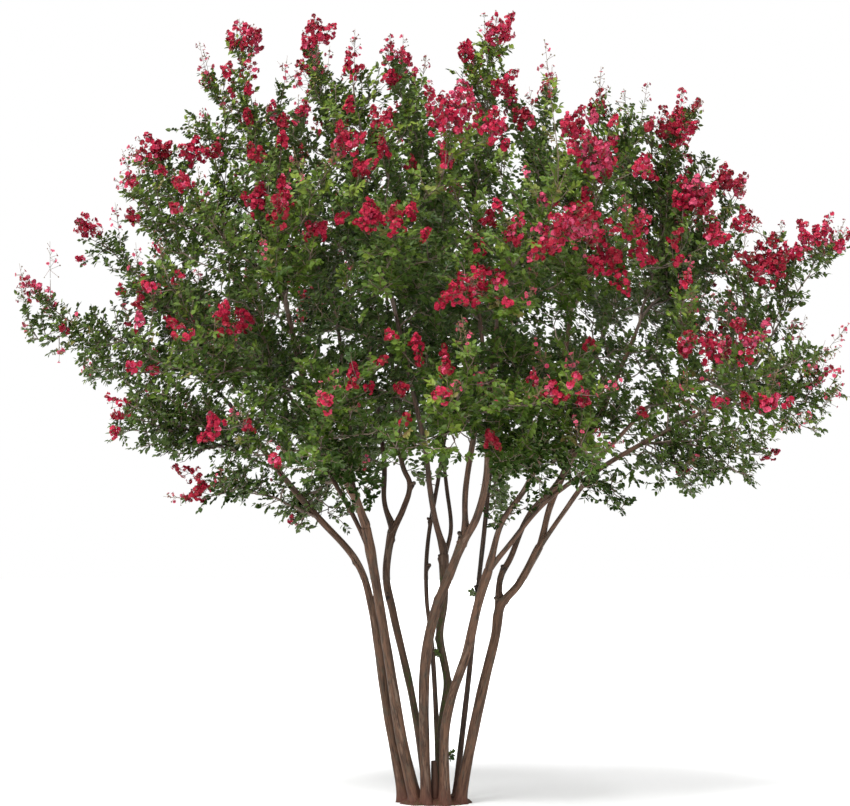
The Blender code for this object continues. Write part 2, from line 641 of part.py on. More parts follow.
def main():
    for obj in list(bpy.data.objects):
        bpy.data.objects.remove(obj)
    scene = bpy.context.scene.collection
    cutters = bpy.data.collections.new("cutters")
    scene.children.link(cutters)
    materials = {
        "bark": plain_material("bark", (0.20, 0.13, 0.09), 0.8),
        "leaf": plain_material("leaf", (0.07, 0.13, 0.03), 0.6),
        "blossom": plain_material("blossom", (0.55, 0.02, 0.07), 0.7),
    }
    limbs = {limb.name: limb for limb in (*STEMS, *BOUGHS)}
    paths = build_wood(scene, cutters, materials["bark"])
    build_root_crown(paths, scene, materials["bark"])
    tips = {mass.limb for mass in MASSES if mass.share == 1}
    seats = {name: seat for limb in sorted(tips) for name, seat in seats_of(limb, paths).items()}
    leaders = {mass.name: leader_of(mass, paths, seats) for mass in MASSES}
    space = Space(leaders, paths, limbs)
    for number, mass in enumerate(MASSES):
        leader = leaders[mass.name]
        path = paths[mass.limb]
        heading = point_at(path, path_length(path))[1] if mass.share == 1 else point_at(leader, 0)[1]
        grow_mass(mass, leader, heading, space, scene, cutters, materials, random.Random(number))
    remove_objects(cutters.objects)
    bpy.data.collections.remove(cutters)


main()
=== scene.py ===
import json
import math
from collections import namedtuple

import bmesh
import bpy
import numpy as np
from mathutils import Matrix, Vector, noise

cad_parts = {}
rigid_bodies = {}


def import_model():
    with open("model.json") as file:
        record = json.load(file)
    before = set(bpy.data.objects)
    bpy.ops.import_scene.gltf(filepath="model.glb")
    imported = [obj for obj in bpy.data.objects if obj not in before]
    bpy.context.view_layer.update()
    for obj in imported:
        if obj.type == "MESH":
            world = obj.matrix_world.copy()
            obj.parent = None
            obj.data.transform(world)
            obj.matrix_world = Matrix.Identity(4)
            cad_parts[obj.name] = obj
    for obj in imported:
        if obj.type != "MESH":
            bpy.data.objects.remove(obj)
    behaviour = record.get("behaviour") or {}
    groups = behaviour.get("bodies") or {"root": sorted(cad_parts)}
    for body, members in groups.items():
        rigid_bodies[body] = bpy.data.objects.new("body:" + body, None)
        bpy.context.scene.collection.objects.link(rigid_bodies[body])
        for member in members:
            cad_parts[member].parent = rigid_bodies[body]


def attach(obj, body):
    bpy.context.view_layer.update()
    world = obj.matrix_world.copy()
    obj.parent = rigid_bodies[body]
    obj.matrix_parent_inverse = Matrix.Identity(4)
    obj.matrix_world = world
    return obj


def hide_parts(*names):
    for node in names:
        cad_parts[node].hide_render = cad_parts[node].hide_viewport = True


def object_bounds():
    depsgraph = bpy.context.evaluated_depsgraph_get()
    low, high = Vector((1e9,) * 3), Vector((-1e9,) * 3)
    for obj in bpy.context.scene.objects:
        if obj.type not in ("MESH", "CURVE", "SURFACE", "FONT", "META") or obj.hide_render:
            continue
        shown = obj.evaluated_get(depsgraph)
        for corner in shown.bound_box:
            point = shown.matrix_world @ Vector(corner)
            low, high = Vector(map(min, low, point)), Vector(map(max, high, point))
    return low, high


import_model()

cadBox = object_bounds()  # the solids' box, before any piece is made
up = np.array((0.0, 0.0, 1.0))
golden = math.radians(137.5)  # the turn from one shoot to the next
limbRow = namedtuple("limbRow", "name parent share bends radius tipRadius")
massRow = namedtuple("massRow", "name limb share tip spread lift bloom")

# The limbs: where each starts on its parent (1 is the parent's tip), its bends, and its two radii

stemFeet = {
    "left_back_stem": (-0.20, 0.06),
    "left_front_stem": (-0.12, -0.08),
    "back_left_stem": (-0.04, 0.10),
    "centre_stem": (-0.05, -0.12),
    "thin_stem": (0.03, 0.00),
    "mossy_stem": (0.07, 0.11),
    "right_front_stem": (0.07, -0.14),
    "right_stem": (0.17, -0.05),
    "back_right_stem": (0.14, 0.07),
}

stems = tuple(limbRow(*row) for row in (
    ("left_back_stem", "", 0, ((-0.32, 0.08, 0.64), (-0.42, 0.11, 1.28), (-0.53, 0.13, 1.62),
     (-0.80, 0.17, 1.93), (-1.05, 0.22, 2.22), (-1.44, 0.30, 2.74)), 0.036, 0.015),
    ("left_front_stem", "", 0, ((-0.22, -0.10, 0.45), (-0.32, -0.16, 1.06), (-0.39, -0.20, 1.49),
     (-0.46, -0.26, 1.87)), 0.039, 0.029),
    ("back_left_stem", "", 0, ((-0.14, 0.16, 0.66), (-0.28, 0.26, 1.26), (-0.33, 0.33, 1.53),
     (-0.29, 0.42, 1.87)), 0.026, 0.026),
    ("centre_stem", "", 0, ((-0.07, -0.15, 0.60), (-0.05, -0.19, 1.00), (0.01, -0.23, 1.30),
     (0.12, -0.28, 1.58), (0.21, -0.34, 1.80)), 0.037, 0.031),
    ("thin_stem", "", 0, ((0.02, 0.04, 0.45), (-0.01, 0.12, 1.02), (-0.05, 0.18, 1.39),
     (-0.04, 0.27, 1.77), (0.05, 0.42, 2.30), (0.14, 0.58, 2.95)), 0.018, 0.012),
    ("mossy_stem", "", 0, ((0.06, 0.13, 0.51), (0.09, 0.16, 0.80), (0.04, 0.19, 1.10),
     (0.07, 0.22, 1.36), (0.07, 0.24, 1.70)), 0.027, 0.029),
    ("right_front_stem", "", 0, ((0.07, -0.15, 0.45), (0.12, -0.17, 0.72), (0.22, -0.21, 1.02),
     (0.29, -0.25, 1.33), (0.37, -0.30, 1.59)), 0.035, 0.027),
    ("right_stem", "", 0, ((0.28, -0.05, 0.56), (0.41, -0.04, 1.09), (0.45, -0.04, 1.32),
     (0.58, -0.04, 1.48), (0.73, -0.04, 1.75)), 0.040, 0.025),
    ("back_right_stem", "", 0, ((0.20, 0.10, 0.51), (0.28, 0.21, 1.19), (0.35, 0.38, 1.81),
     (0.47, 0.75, 2.75), (0.62, 1.05, 3.40)), 0.020, 0.012),
))

boughs = tuple(limbRow(*row) for row in (
    ("left_front_bough", "left_front_stem", 1, ((-0.55, -0.32, 2.09), (-0.74, -0.46, 2.38),
     (-0.85, -0.62, 2.77), (-0.95, -0.80, 3.23)), 0.026, 0.016),
    ("left_thin_bough", "left_front_stem", 0.90, ((-0.55, -0.14, 1.94), (-0.71, 0.02, 2.22),
     (-1.02, 0.50, 2.80)), 0.017, 0.013),
    ("left_inner_bough", "left_front_bough", 0.12, ((-0.57, -0.15, 2.27), (-0.58, 0.05, 2.56),
     (-0.68, 0.45, 3.30)), 0.018, 0.012),
    ("back_left_bough", "back_left_stem", 1, ((-0.35, 0.50, 2.06), (-0.36, 0.70, 2.42),
     (-0.48, 1.15, 3.20)), 0.020, 0.014),
    ("crooked_bough", "back_left_stem", 0.97, ((-0.21, 0.42, 2.00), (-0.17, 0.42, 2.17),
     (-0.24, 0.44, 2.41), (-0.32, 0.55, 3.35)), 0.021, 0.012),
    ("centre_bough", "centre_stem", 1, ((0.21, -0.36, 2.10), (0.28, -0.38, 2.56), (0.33, -0.36, 2.96),
     (0.27, -0.30, 3.55)), 0.021, 0.013),
    ("front_bough", "centre_stem", 0.96, ((0.28, -0.44, 1.91), (0.34, -0.58, 2.17), (0.35, -0.80, 2.53),
     (0.39, -1.20, 3.10)), 0.025, 0.015),
    ("centre_left_bough", "mossy_stem", 1, ((0.01, 0.22, 1.91), (-0.03, 0.16, 2.15), (-0.07, 0.04, 2.45),
     (-0.26, -0.35, 3.29)), 0.021, 0.013),
    ("back_centre_bough", "mossy_stem", 0.97, ((0.12, 0.31, 1.86), (0.09, 0.42, 2.16), (0.05, 0.66, 2.57),
     (0.02, 1.20, 3.34)), 0.015, 0.012),
    ("right_front_bough", "right_front_stem", 1, ((0.45, -0.38, 1.88), (0.62, -0.50, 2.14),
     (0.78, -0.74, 2.57), (0.87, -1.05, 3.20)), 0.021, 0.014),
    ("right_low_bough", "right_front_stem", 0.98, ((0.49, -0.34, 1.72), (0.71, -0.44, 1.99),
     (1.02, -0.62, 2.24), (1.34, -0.85, 2.58)), 0.017, 0.013),
    ("right_inner_bough", "right_stem", 0.68, ((0.45, 0.00, 1.50), (0.53, 0.05, 1.66), (0.66, 0.16, 1.95),
     (0.93, 0.34, 2.30), (1.20, 0.65, 3.20)), 0.022, 0.013),
    ("right_upper_bough", "right_stem", 1, ((0.80, 0.05, 2.01), (0.95, 0.14, 2.32), (1.17, 0.20, 2.67),
     (1.42, 0.30, 3.23)), 0.023, 0.014),
    ("right_outer_bough", "right_stem", 0.97, ((0.87, -0.06, 1.94), (1.07, -0.09, 2.20),
     (1.34, -0.12, 2.38), (1.80, -0.15, 2.62)), 0.017, 0.014),
))

# The masses of foliage: the limb, where on it the leader starts, its tip, how far its shoots spread, how far
# its end turns up or hangs, and its share of blossom

masses = tuple(massRow(f"{name}_foliage", *row) for name, *row in (
    ("top_left", "left_front_bough", 1, (-1.33, -0.30, 5.10), 0.42, 0.5, 1.0),
    ("top_left_back", "left_inner_bough", 1, (-1.15, 0.80, 4.80), 0.45, 0.4, 0.7),
    ("top_left_inner", "crooked_bough", 1, (-0.87, 0.35, 5.26), 0.40, 0.4, 0.8),
    ("top_centre_left", "centre_left_bough", 1, (-0.55, -0.40, 4.87), 0.45, 0.4, 0.6),
    ("top_centre", "thin_stem", 1, (-0.18, 0.70, 5.12), 0.45, 0.4, 0.6),
    ("top_peak", "centre_bough", 1, (0.40, -0.25, 5.12), 0.48, 0.4, 1.0),
    ("top_right_spire", "back_right_stem", 1, (0.84, 1.00, 5.05), 0.45, 0.4, 0.6),
    ("top_right", "right_front_bough", 1, (1.10, -0.50, 4.60), 0.50, 0.4, 1.0),
    ("right_top", "right_upper_bough", 1, (1.72, 0.10, 4.68), 0.48, 0.4, 1.0),
    ("left_shoulder", "left_front_bough", 1, (-1.90, -0.50, 4.25), 0.48, 0.4, 0.8),
    ("right_shoulder", "right_upper_bough", 1, (2.16, 0.50, 4.25), 0.48, 0.3, 0.8),
    ("left_upper", "left_thin_bough", 1, (-2.40, 0.45, 3.95), 0.45, 0.3, 0.6),
    ("far_left", "left_back_stem", 1, (-2.74, 0.15, 3.44), 0.42, 0.2, 0.5),
    ("far_right", "right_outer_bough", 1, (2.66, -0.10, 3.78), 0.45, 0.3, 0.8),
    ("right_middle", "right_outer_bough", 1, (2.55, -0.10, 2.82), 0.42, 0.1, 0.4),
    ("front_upper_left", "left_front_bough", 1, (-0.95, -1.75, 3.65), 0.52, 0.2, 0.6),
    ("front_upper_centre_left", "centre_left_bough", 1, (-0.25, -1.95, 3.60), 0.52, 0.2, 0.6),
    ("front_upper_centre_right", "front_bough", 1, (0.46, -2.10, 3.50), 0.52, 0.2, 0.8),
    ("front_upper_right", "right_front_bough", 1, (1.18, -1.80, 3.55), 0.52, 0.2, 0.8),
    ("front_right", "right_low_bough", 1, (1.85, -1.60, 2.80), 0.50, 0.1, 0.4),
    ("front_low_right", "right_front_bough", 0.55, (0.80, -2.05, 2.62), 0.45, 0.0, 0.4),
    ("front_low_centre", "front_bough", 0.50, (0.05, -2.15, 2.55), 0.45, 0.0, 0.3),
    ("front_low_left", "left_front_bough", 0.30, (-0.65, -1.90, 2.52), 0.45, 0.0, 0.4),
    ("front_left", "left_front_bough", 0.60, (-1.50, -1.60, 2.95), 0.50, 0.1, 0.4),
    ("back_left", "left_thin_bough", 1, (-1.87, 1.70, 3.65), 0.52, 0.2, 0.5),
    ("back_centre_left", "back_left_bough", 1, (-1.05, 2.15, 4.05), 0.52, 0.2, 0.5),
    ("back_centre", "back_centre_bough", 1, (-0.02, 2.30, 4.30), 0.55, 0.3, 0.6),
    ("back_centre_right", "back_right_stem", 1, (1.02, 2.20, 4.15), 0.52, 0.2, 0.5),
    ("back_right", "right_inner_bough", 1, (2.00, 1.75, 3.90), 0.52, 0.2, 0.5),
    ("low_left", "left_back_stem", 0.80, (-2.02, -0.20, 2.59), 0.40, 0.0, 0.4),
    ("low_left_hanging", "left_back_stem", 0.66, (-1.55, -0.20, 2.17), 0.28, -0.2, 0.4),
    ("small_left_hanging", "left_thin_bough", 0.40, (-0.94, 0.50, 1.97), 0.22, -0.3, 0.2),
    ("low_right", "right_outer_bough", 0.70, (2.25, 0.20, 2.36), 0.38, 0.0, 0.3),
    ("low_right_hanging", "right_outer_bough", 0.40, (1.24, -0.30, 2.05), 0.22, -0.2, 0.0),
    ("low_back_left", "back_left_bough", 0.30, (-0.80, 1.60, 2.50), 0.45, 0.0, 0.1),
    ("low_back_right", "back_right_stem", 0.60, (0.75, 1.70, 2.45), 0.45, 0.0, 0.1),
))

limbs = {limb.name: limb for limb in (*stems, *boughs)}

# Curves


def unit(v):
    return v / np.maximum(np.linalg.norm(v, axis=-1, keepdims=True), 1e-9)


def smoothPath(points, steps=24):
    # a Catmull-Rom curve through the points
    p = np.array(points, float)
    ends = np.vstack([2 * p[0] - p[1], p, 2 * p[-1] - p[-2]])
    t = np.linspace(0, 1, steps, endpoint=False)[:, None]
    parts = [0.5 * (2 * b + (c - a) * t + (2 * a - 5 * b + 4 * c - d) * t**2 + (3 * b - a - 3 * c + d) * t**3)
             for a, b, c, d in zip(ends, ends[1:], ends[2:], ends[3:])]
    return np.vstack([*parts, p[-1:]])


def columnsOf(rows):
    return (np.array(column) for column in zip(*rows))


def facingWay(facing, rise=0.0):
    turn = math.radians(facing)
    return np.array((math.cos(turn), math.sin(turn), rise))


def marksAlong(path):
    return np.concatenate([[0], np.cumsum(np.linalg.norm(np.diff(path, axis=0), axis=1))])


def pointAt(path, distance):
    marks = marksAlong(path)
    return np.stack([np.interp(distance, marks, path[:, k]) for k in range(3)], axis=-1)


def headingAt(path, distance):
    return unit(pointAt(path, distance + 0.01) - pointAt(path, distance - 0.01))


def limbPaths():
    paths = {}
    for limb in limbs.values():
        start = (*stemFeet[limb.name], 0) if not limb.parent else None
        if start is None:
            parent = paths[limb.parent]
            start = pointAt(parent, marksAlong(parent)[-1] * limb.share)
        paths[limb.name] = smoothPath([start, *limb.bends])
    return paths


def tipWay(paths):
    # which way each path points at its tip
    return unit(paths[..., -1, :] - paths[..., -3, :])


def arcs(starts, headings, tips, lifts, points):
    # one cubic for each row: it leaves along its heading and reaches its tip, turned up or down by its lift
    reach = np.linalg.norm(tips - starts, axis=1, keepdims=True)
    arrival = unit((tips - starts) / reach + lifts[:, None] * up)
    near, far = starts + headings * reach * 0.30, tips - arrival * reach * 0.35
    t = np.linspace(0, 1, points)[None, :, None]
    near, far, start, tip = (v[:, None, :] for v in (near, far, starts, tips))
    return (1 - t) ** 3 * start + 3 * t * (1 - t) ** 2 * near + 3 * t**2 * (1 - t) * far + t**3 * tip


def across(v):
    # a unit vector at right angles to each
    other = np.where(np.abs(v[..., 2:]) < 0.9, up, np.array((1.0, 0, 0)))
    return unit(np.cross(v, other))


def turned(v, axis, angle):
    angle = np.asarray(angle)[..., None]
    dot = (v * axis).sum(-1, keepdims=True)
    return v * np.cos(angle) + np.cross(axis, v) * np.sin(angle) + axis * dot * (1 - np.cos(angle))


def seatOn(paths, row, share):
    # the point and the heading at that share of each chosen path
    last = paths.shape[1] - 1
    place = np.clip(share, 0, 1) * last
    k = np.minimum(place.astype(int), last - 1)
    a, b = paths[row, k], paths[row, k + 1]
    return a + (b - a) * (place - k)[:, None], unit(b - a)


# Meshes


def pieceOf(name, mesh, materials, nodes=()):
    for material in materials:
        mesh.materials.append(material)
    piece = bpy.data.objects.new(name, mesh)
    bpy.context.scene.collection.objects.link(piece)
    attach(piece, "root")
    if nodes:
        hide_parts(*nodes)
    return piece


def meshFrom(bm, name):
    mesh = bpy.data.meshes.new(name)
    bm.to_mesh(mesh)
    bm.free()
    return mesh


def meshOf(name, points, faces, slots=None, smooth=False):
    # a joined mesh of many small things, from arrays of corners and of faces
    mesh = bpy.data.meshes.new(name)
    corners = np.concatenate([f.ravel() for f in faces])
    sizes = np.concatenate([np.full(len(f), f.shape[1]) for f in faces])
    mesh.vertices.add(len(points))
    mesh.vertices.foreach_set("co", points.astype(np.float32).ravel())
    mesh.loops.add(len(corners))
    mesh.loops.foreach_set("vertex_index", corners.astype(np.int32))
    mesh.polygons.add(len(sizes))
    mesh.polygons.foreach_set("loop_start", (np.cumsum(sizes) - sizes).astype(np.int32))
    if slots is not None:
        mesh.polygons.foreach_set("material_index", slots.astype(np.int32))
    mesh.polygons.foreach_set("use_smooth", np.full(len(sizes), smooth))
    mesh.update(calc_edges=True)
    return mesh


def trianglesOf(mesh):
    return sum(len(p.vertices) - 2 for p in mesh.polygons)


def sweptFrames(path, side=None):
    # two axes across the path, carried along with no twist
    ways = unit(np.diff(path, axis=0))
    headings = unit(np.vstack([ways[:1], ways[:-1] + ways[1:], ways[-1:]]))
    side = across(headings[0]) if side is None else side
    sides = []
    for heading in headings:
        side = unit(side - heading * np.dot(side, heading))
        sides.append(side)
    return np.array(sides), np.cross(headings, sides)


def tubes(paths, radii, sides):
    # closed tubes along all the paths at once: paths (n, p, 3) and radii (n, p)
    count, rings = paths.shape[:2]
    ways = unit(np.diff(paths, axis=1))
    headings = unit(np.concatenate([ways[:, :1], ways[:, :-1] + ways[:, 1:], ways[:, -1:]], axis=1))
    angle = np.arange(sides) * 2 * math.pi / sides
    side = across(headings[:, 0])
    extra = 0 if sides == 3 else 2  # a thin tube's end is one face, and a thick one's is a fan round a point
    points = np.empty((count, rings * sides + extra, 3))
    for k in range(rings):
        side = unit(side - headings[:, k] * (side * headings[:, k]).sum(1, keepdims=True))
        over = np.cross(headings[:, k], side)
        ring = side[:, None] * np.cos(angle)[None, :, None] + over[:, None] * np.sin(angle)[None, :, None]
        points[:, k * sides:(k + 1) * sides] = paths[:, k, None] + ring * radii[:, k, None, None]
    j = np.arange(sides)
    follow = (j + 1) % sides
    walls = [np.stack([k * sides + j, k * sides + follow, (k + 1) * sides + follow, (k + 1) * sides + j], 1)
             for k in range(rings - 1)]
    walls = np.concatenate(walls)
    first, last = np.array([(2, 1, 0)]), np.array([(0, 1, 2)]) + (rings - 1) * sides
    if extra:
        points[:, -2] = paths[:, 0]
        points[:, -1] = paths[:, -1] + headings[:, -1] * radii[:, -1, None]
        first = np.stack([np.full(sides, rings * sides), follow, j], 1)
        last = np.stack([np.full(sides, rings * sides + 1), (rings - 1) * sides + j, (rings - 1) * sides + follow], 1)
    shift = (np.arange(count) * (rings * sides + extra))[:, None, None]
    quads = (walls[None] + shift).reshape(-1, 4)
    ends = (np.concatenate([first, last])[None] + shift).reshape(-1, 3)
    return points.reshape(-1, 3), quads, ends


# Materials


def newMaterial(name, **values):
    material = bpy.data.materials.new(name)
    material.use_nodes = True
    shader = material.node_tree.nodes["Principled BSDF"]
    for socket, value in values.items():
        shader.inputs[socket.replace("_", " ")].default_value = value
    return material, material.node_tree, shader


def noiseNode(tree, vector, scale, detail=4.0, rough=0.55, stretch=(1, 1, 1)):
    mapping = tree.nodes.new("ShaderNodeMapping")
    mapping.inputs["Scale"].default_value = stretch
    cloud = tree.nodes.new("ShaderNodeTexNoise")
    cloud.inputs["Scale"].default_value = scale
    cloud.inputs["Detail"].default_value = detail
    cloud.inputs["Roughness"].default_value = rough
    tree.links.new(vector, mapping.inputs["Vector"])
    tree.links.new(mapping.outputs["Vector"], cloud.inputs["Vector"])
    return cloud.outputs["Fac"]


def rampNode(tree, value, stops):
    ramp = tree.nodes.new("ShaderNodeValToRGB")
    elements = ramp.color_ramp.elements
    elements[0].position, elements[1].position = stops[0][0], stops[-1][0]
    for place, _ in stops[1:-1]:
        elements.new(place)
    for element, (_, colour) in zip(elements, stops):
        element.color = (*colour, 1) if len(colour) == 3 else colour
    tree.links.new(value, ramp.inputs["Fac"])
    return ramp.outputs["Color"]


def maskNode(tree, value, low, high):
    # 0 below low, 1 above high
    spread = tree.nodes.new("ShaderNodeMapRange")
    spread.interpolation_type = "SMOOTHSTEP"
    spread.inputs["From Min"].default_value = low
    spread.inputs["From Max"].default_value = high
    tree.links.new(value, spread.inputs["Value"])
    return spread.outputs["Result"]


def mathNode(tree, operation, a, b):
    node = tree.nodes.new("ShaderNodeMath")
    node.operation = operation
    for socket, value in zip(node.inputs, (a, b)):
        if isinstance(value, (int, float)):
            socket.default_value = value
        else:
            tree.links.new(value, socket)
    return node.outputs["Value"]


def mixNode(tree, share, a, b, blend="MIX"):
    node = tree.nodes.new("ShaderNodeMix")
    node.data_type = "RGBA"
    node.blend_type = blend
    for socket, value in zip((node.inputs[0], node.inputs[6], node.inputs[7]), (share, a, b)):
        if isinstance(value, (int, float)):
            socket.default_value = value
        elif isinstance(value, tuple):
            socket.default_value = (*value, 1)
        else:
            tree.links.new(value, socket)
    return node.outputs[2]


def attributeNode(tree, name, output="Fac"):
    node = tree.nodes.new("ShaderNodeAttribute")
    node.attribute_name = name
    return node.outputs[output]


def addRelief(tree, shader, height, strength, distance):
    bump = tree.nodes.new("ShaderNodeBump")
    bump.inputs["Strength"].default_value = strength
    bump.inputs["Distance"].default_value = distance
    tree.links.new(height, bump.inputs["Height"])
    tree.links.new(bump.outputs["Normal"], shader.inputs["Normal"])


def scaled(tree, value, factor):
    return mathNode(tree, "MULTIPLY", value, factor)


barkFinish = {
    "dark": (0.014, 0.009, 0.006),
    "brown": (0.050, 0.027, 0.016),
    "cinnamon": (0.116, 0.061, 0.036),
    "grey": (0.062, 0.050, 0.034),
    "flaked": (0.170, 0.115, 0.082),
    "shaded": (0.50, 0.54, 0.60),  # painted shade: how a stem at the back is darkened
    "moss": (0.026, 0.038, 0.006),
    "freshMoss": (0.070, 0.100, 0.016),
    "knot": (0.012, 0.008, 0.006),
    "foot": (0.072, 0.021, 0.014),
    "relief": 0.005,
    "noises": (  # scale, detail, roughness, and the stretch across and along the limb
        (110, 5, 0.62, (1, 1, 0.09)),  # dark streaks
        (30, 3, 0.5, (1, 1, 0.14)),  # broad bands of brown
        (22, 5, 0.62, (1, 1, 0.15)),  # flakes
        (34, 4, 0.6, (1, 1, 0.40)),  # grey blotches
        (420, 3, 0.6, (1, 1, 0.5)),  # fine specks
        (60, 5, 0.68, (1, 1, 0.6)),  # patches of moss
    ),
}


def barkMaterial():
    look = barkFinish
    material, tree, shader = newMaterial("smoothBark", Specular_IOR_Level=0.22)
    grain = attributeNode(tree, "grain", "Vector")
    streak, broad, flake, blotch, fine, patch = (noiseNode(tree, grain, *row) for row in look["noises"])
    base = rampNode(tree, broad, ((0.34, look["brown"]), (0.50, look["cinnamon"]), (0.66, look["brown"])))
    edge = maskNode(tree, flake, 0.535, 0.57)  # painted shadow: the raised rim of a flake casts a dark line
    rim = mathNode(tree, "SUBTRACT", edge, maskNode(tree, flake, 0.57, 0.60))
    streaks = maskNode(tree, streak, 0.52, 0.66)
    layers = ((maskNode(tree, blotch, 0.52, 0.64), 0.70, "grey"), (maskNode(tree, flake, 0.57, 0.65), 0.55, "flaked"),
              (rim, 0.45, "dark"), (streaks, 0.80, "dark"), (maskNode(tree, fine, 0.55, 0.75), 0.22, "flaked"))
    for mask, strength, colour in layers:
        base = mixNode(tree, scaled(tree, mask, strength), base, look[colour])
    # painted shade: each limb is darkened towards 'shaded' by how far back it stands
    shade = mathNode(tree, "SUBTRACT", 1.0, attributeNode(tree, "paintedLight"))
    base = mixNode(tree, shade, base, look["shaded"], "MULTIPLY")
    base = mixNode(tree, maskNode(tree, attributeNode(tree, "knot"), 0.25, 0.9), base, look["knot"])
    base = mixNode(tree, scaled(tree, attributeNode(tree, "foot"), 0.8), base, look["foot"])
    moss = scaled(tree, attributeNode(tree, "moss"), maskNode(tree, patch, 0.44, 0.58))
    mossy = mixNode(tree, maskNode(tree, fine, 0.50, 0.68), look["moss"], look["freshMoss"])
    base = mixNode(tree, moss, base, mossy)
    tree.links.new(base, shader.inputs["Base Color"])
    rough = mathNode(tree, "MULTIPLY_ADD", streaks, 0.15)
    rough.node.inputs[2].default_value = 0.68
    tree.links.new(rough, shader.inputs["Roughness"])
    height = mathNode(tree, "ADD", scaled(tree, streak, 0.6), scaled(tree, flake, 0.8))
    height = mathNode(tree, "ADD", height, scaled(tree, moss, 0.8))
    addRelief(tree, shader, height, 0.8, look["relief"])
    return material


def mottleGroup():
    # a slow change between two colours and a fine relief, for leaves, petals and young wood
    group = bpy.data.node_groups.new("mottle", "ShaderNodeTree")
    sockets = (("First", "INPUT", "NodeSocketColor"), ("Second", "INPUT", "NodeSocketColor"),
               ("Patch", "INPUT", "NodeSocketFloat"), ("Fine", "INPUT", "NodeSocketFloat"),
               ("Colour", "OUTPUT", "NodeSocketColor"), ("Roughness", "OUTPUT", "NodeSocketFloat"),
               ("Height", "OUTPUT", "NodeSocketFloat"))
    for name, way, kind in sockets:
        group.interface.new_socket(name, in_out=way, socket_type=kind)
    given, made = group.nodes.new("NodeGroupInput"), group.nodes.new("NodeGroupOutput")
    place = group.nodes.new("ShaderNodeTexCoord").outputs["Object"]
    slow = noiseNode(group, place, 1, 2)
    fine = noiseNode(group, place, 1, 3)
    group.links.new(given.outputs["Patch"], slow.node.inputs["Scale"])
    group.links.new(given.outputs["Fine"], fine.node.inputs["Scale"])
    share = maskNode(group, slow, 0.35, 0.65)
    group.links.new(mixNode(group, share, given.outputs["First"], given.outputs["Second"]), made.inputs["Colour"])
    rough = mathNode(group, "MULTIPLY_ADD", fine, 0.30)
    rough.node.inputs[2].default_value = 0.36
    group.links.new(rough, made.inputs["Roughness"])
    group.links.new(fine, made.inputs["Height"])
    return group


def mottledMaterial(name, group, first, second, patch, fine, relief, under=None, **values):
    material, tree, shader = newMaterial(name, **values)
    mottle = tree.nodes.new("ShaderNodeGroup")
    mottle.node_tree = group
    given = {"First": (*first, 1), "Second": (*second, 1), "Patch": patch, "Fine": fine}
    for socket, value in given.items():
        mottle.inputs[socket].default_value = value
    colour = mottle.outputs["Colour"]
    if under:
        back = tree.nodes.new("ShaderNodeNewGeometry").outputs["Backfacing"]
        colour = mixNode(tree, back, colour, under)
    tree.links.new(colour, shader.inputs["Base Color"])
    tree.links.new(mottle.outputs["Roughness"], shader.inputs["Roughness"])
    addRelief(tree, shader, mottle.outputs["Height"], 0.5, relief)
    return material


# Trunk and boughs

barkLook = {
    "ringGap": 0.014,
    "stemSides": 20,
    "boughSides": 16,
    "flutes": ((2, 0.055, 1.3), (3, 0.045, -1.9), (5, 0.028, 2.6), (7, 0.014, -4.0)),  # lobes, depth, twist
    "swell": 0.035,
    "forkSwell": (0.14, 0.07),  # how much, and how far along the limb
    "flare": (0.55, 0.055),  # a stem's widening at the ground, and its height
    "collar": (1.06, 0.075),  # round a tip that a bough carries on from
    "tuck": (0.45, 0.03),  # how a stem's tip narrows inside that collar
    "footLobes": (0.16, 0.06),  # how deep the lobes at a stem's foot are, and how high they reach
    "mound": (0.232, 0.178, 0.078),  # its reach across, in depth and in height
    "moundCrest": 0.045,  # how far round a stem's foot the mound rises
    "stump": 0.021,  # the sawn stem's radius
    # painted light on each limb: 1 is lit at the front, 0 is in shade at the back
    "paintedLightByLimb": {"left_back_stem": 0.75, "left_front_stem": 0.95, "back_left_stem": 0.50, "centre_stem": 0.70,
              "thin_stem": 0.10, "mossy_stem": 0.35, "right_front_stem": 0.95, "right_stem": 0.95,
              "back_right_stem": 0.0, "left_front_bough": 0.9, "left_thin_bough": 0.5, "left_inner_bough": 0.4,
              "back_left_bough": 0.2, "crooked_bough": 0.4, "centre_bough": 0.6, "front_bough": 0.7,
              "centre_left_bough": 0.35, "back_centre_bough": 0.1, "right_front_bough": 0.8,
              "right_low_bough": 0.8, "right_inner_bough": 0.6, "right_upper_bough": 0.9,
              "right_outer_bough": 0.9},
}

# limb, height, the side it faces in degrees (0 right, 90 back, 180 left, 270 front), width, rise
knots = (
    ("left_back_stem", 1.34, 350, 0.024, 0.016), ("left_back_stem", 1.62, 200, 0.020, 0.008),
    ("left_front_stem", 0.98, 250, 0.016, 0.004), ("left_front_stem", 1.86, 230, 0.024, 0.008),
    ("back_left_stem", 1.37, 250, 0.022, 0.012), ("back_left_stem", 1.77, 350, 0.014, 0.008),
    ("crooked_bough", 2.15, 350, 0.018, 0.018), ("thin_stem", 1.90, 190, 0.014, 0.008),
    ("thin_stem", 1.58, 350, 0.018, 0.016), ("mossy_stem", 1.64, 185, 0.020, 0.010),
    ("mossy_stem", 1.10, 180, 0.018, 0.008), ("mossy_stem", 0.80, 0, 0.020, 0.008),
    ("centre_stem", 1.78, 200, 0.022, 0.012), ("centre_stem", 1.36, 160, 0.022, 0.006),
    ("centre_stem", 1.30, 300, 0.020, 0.005), ("right_stem", 1.34, 185, 0.020, 0.018),
    ("right_stem", 1.36, 20, 0.020, 0.010), ("right_stem", 1.12, 250, 0.014, 0.004),
    ("right_inner_bough", 1.57, 240, 0.022, 0.014), ("right_inner_bough", 1.40, 10, 0.016, 0.010),
    ("right_front_stem", 1.02, 300, 0.020, 0.004), ("right_front_stem", 0.42, 260, 0.014, 0.003),
    ("back_right_stem", 1.44, 200, 0.016, 0.010), ("left_front_bough", 2.10, 200, 0.020, 0.006),
)

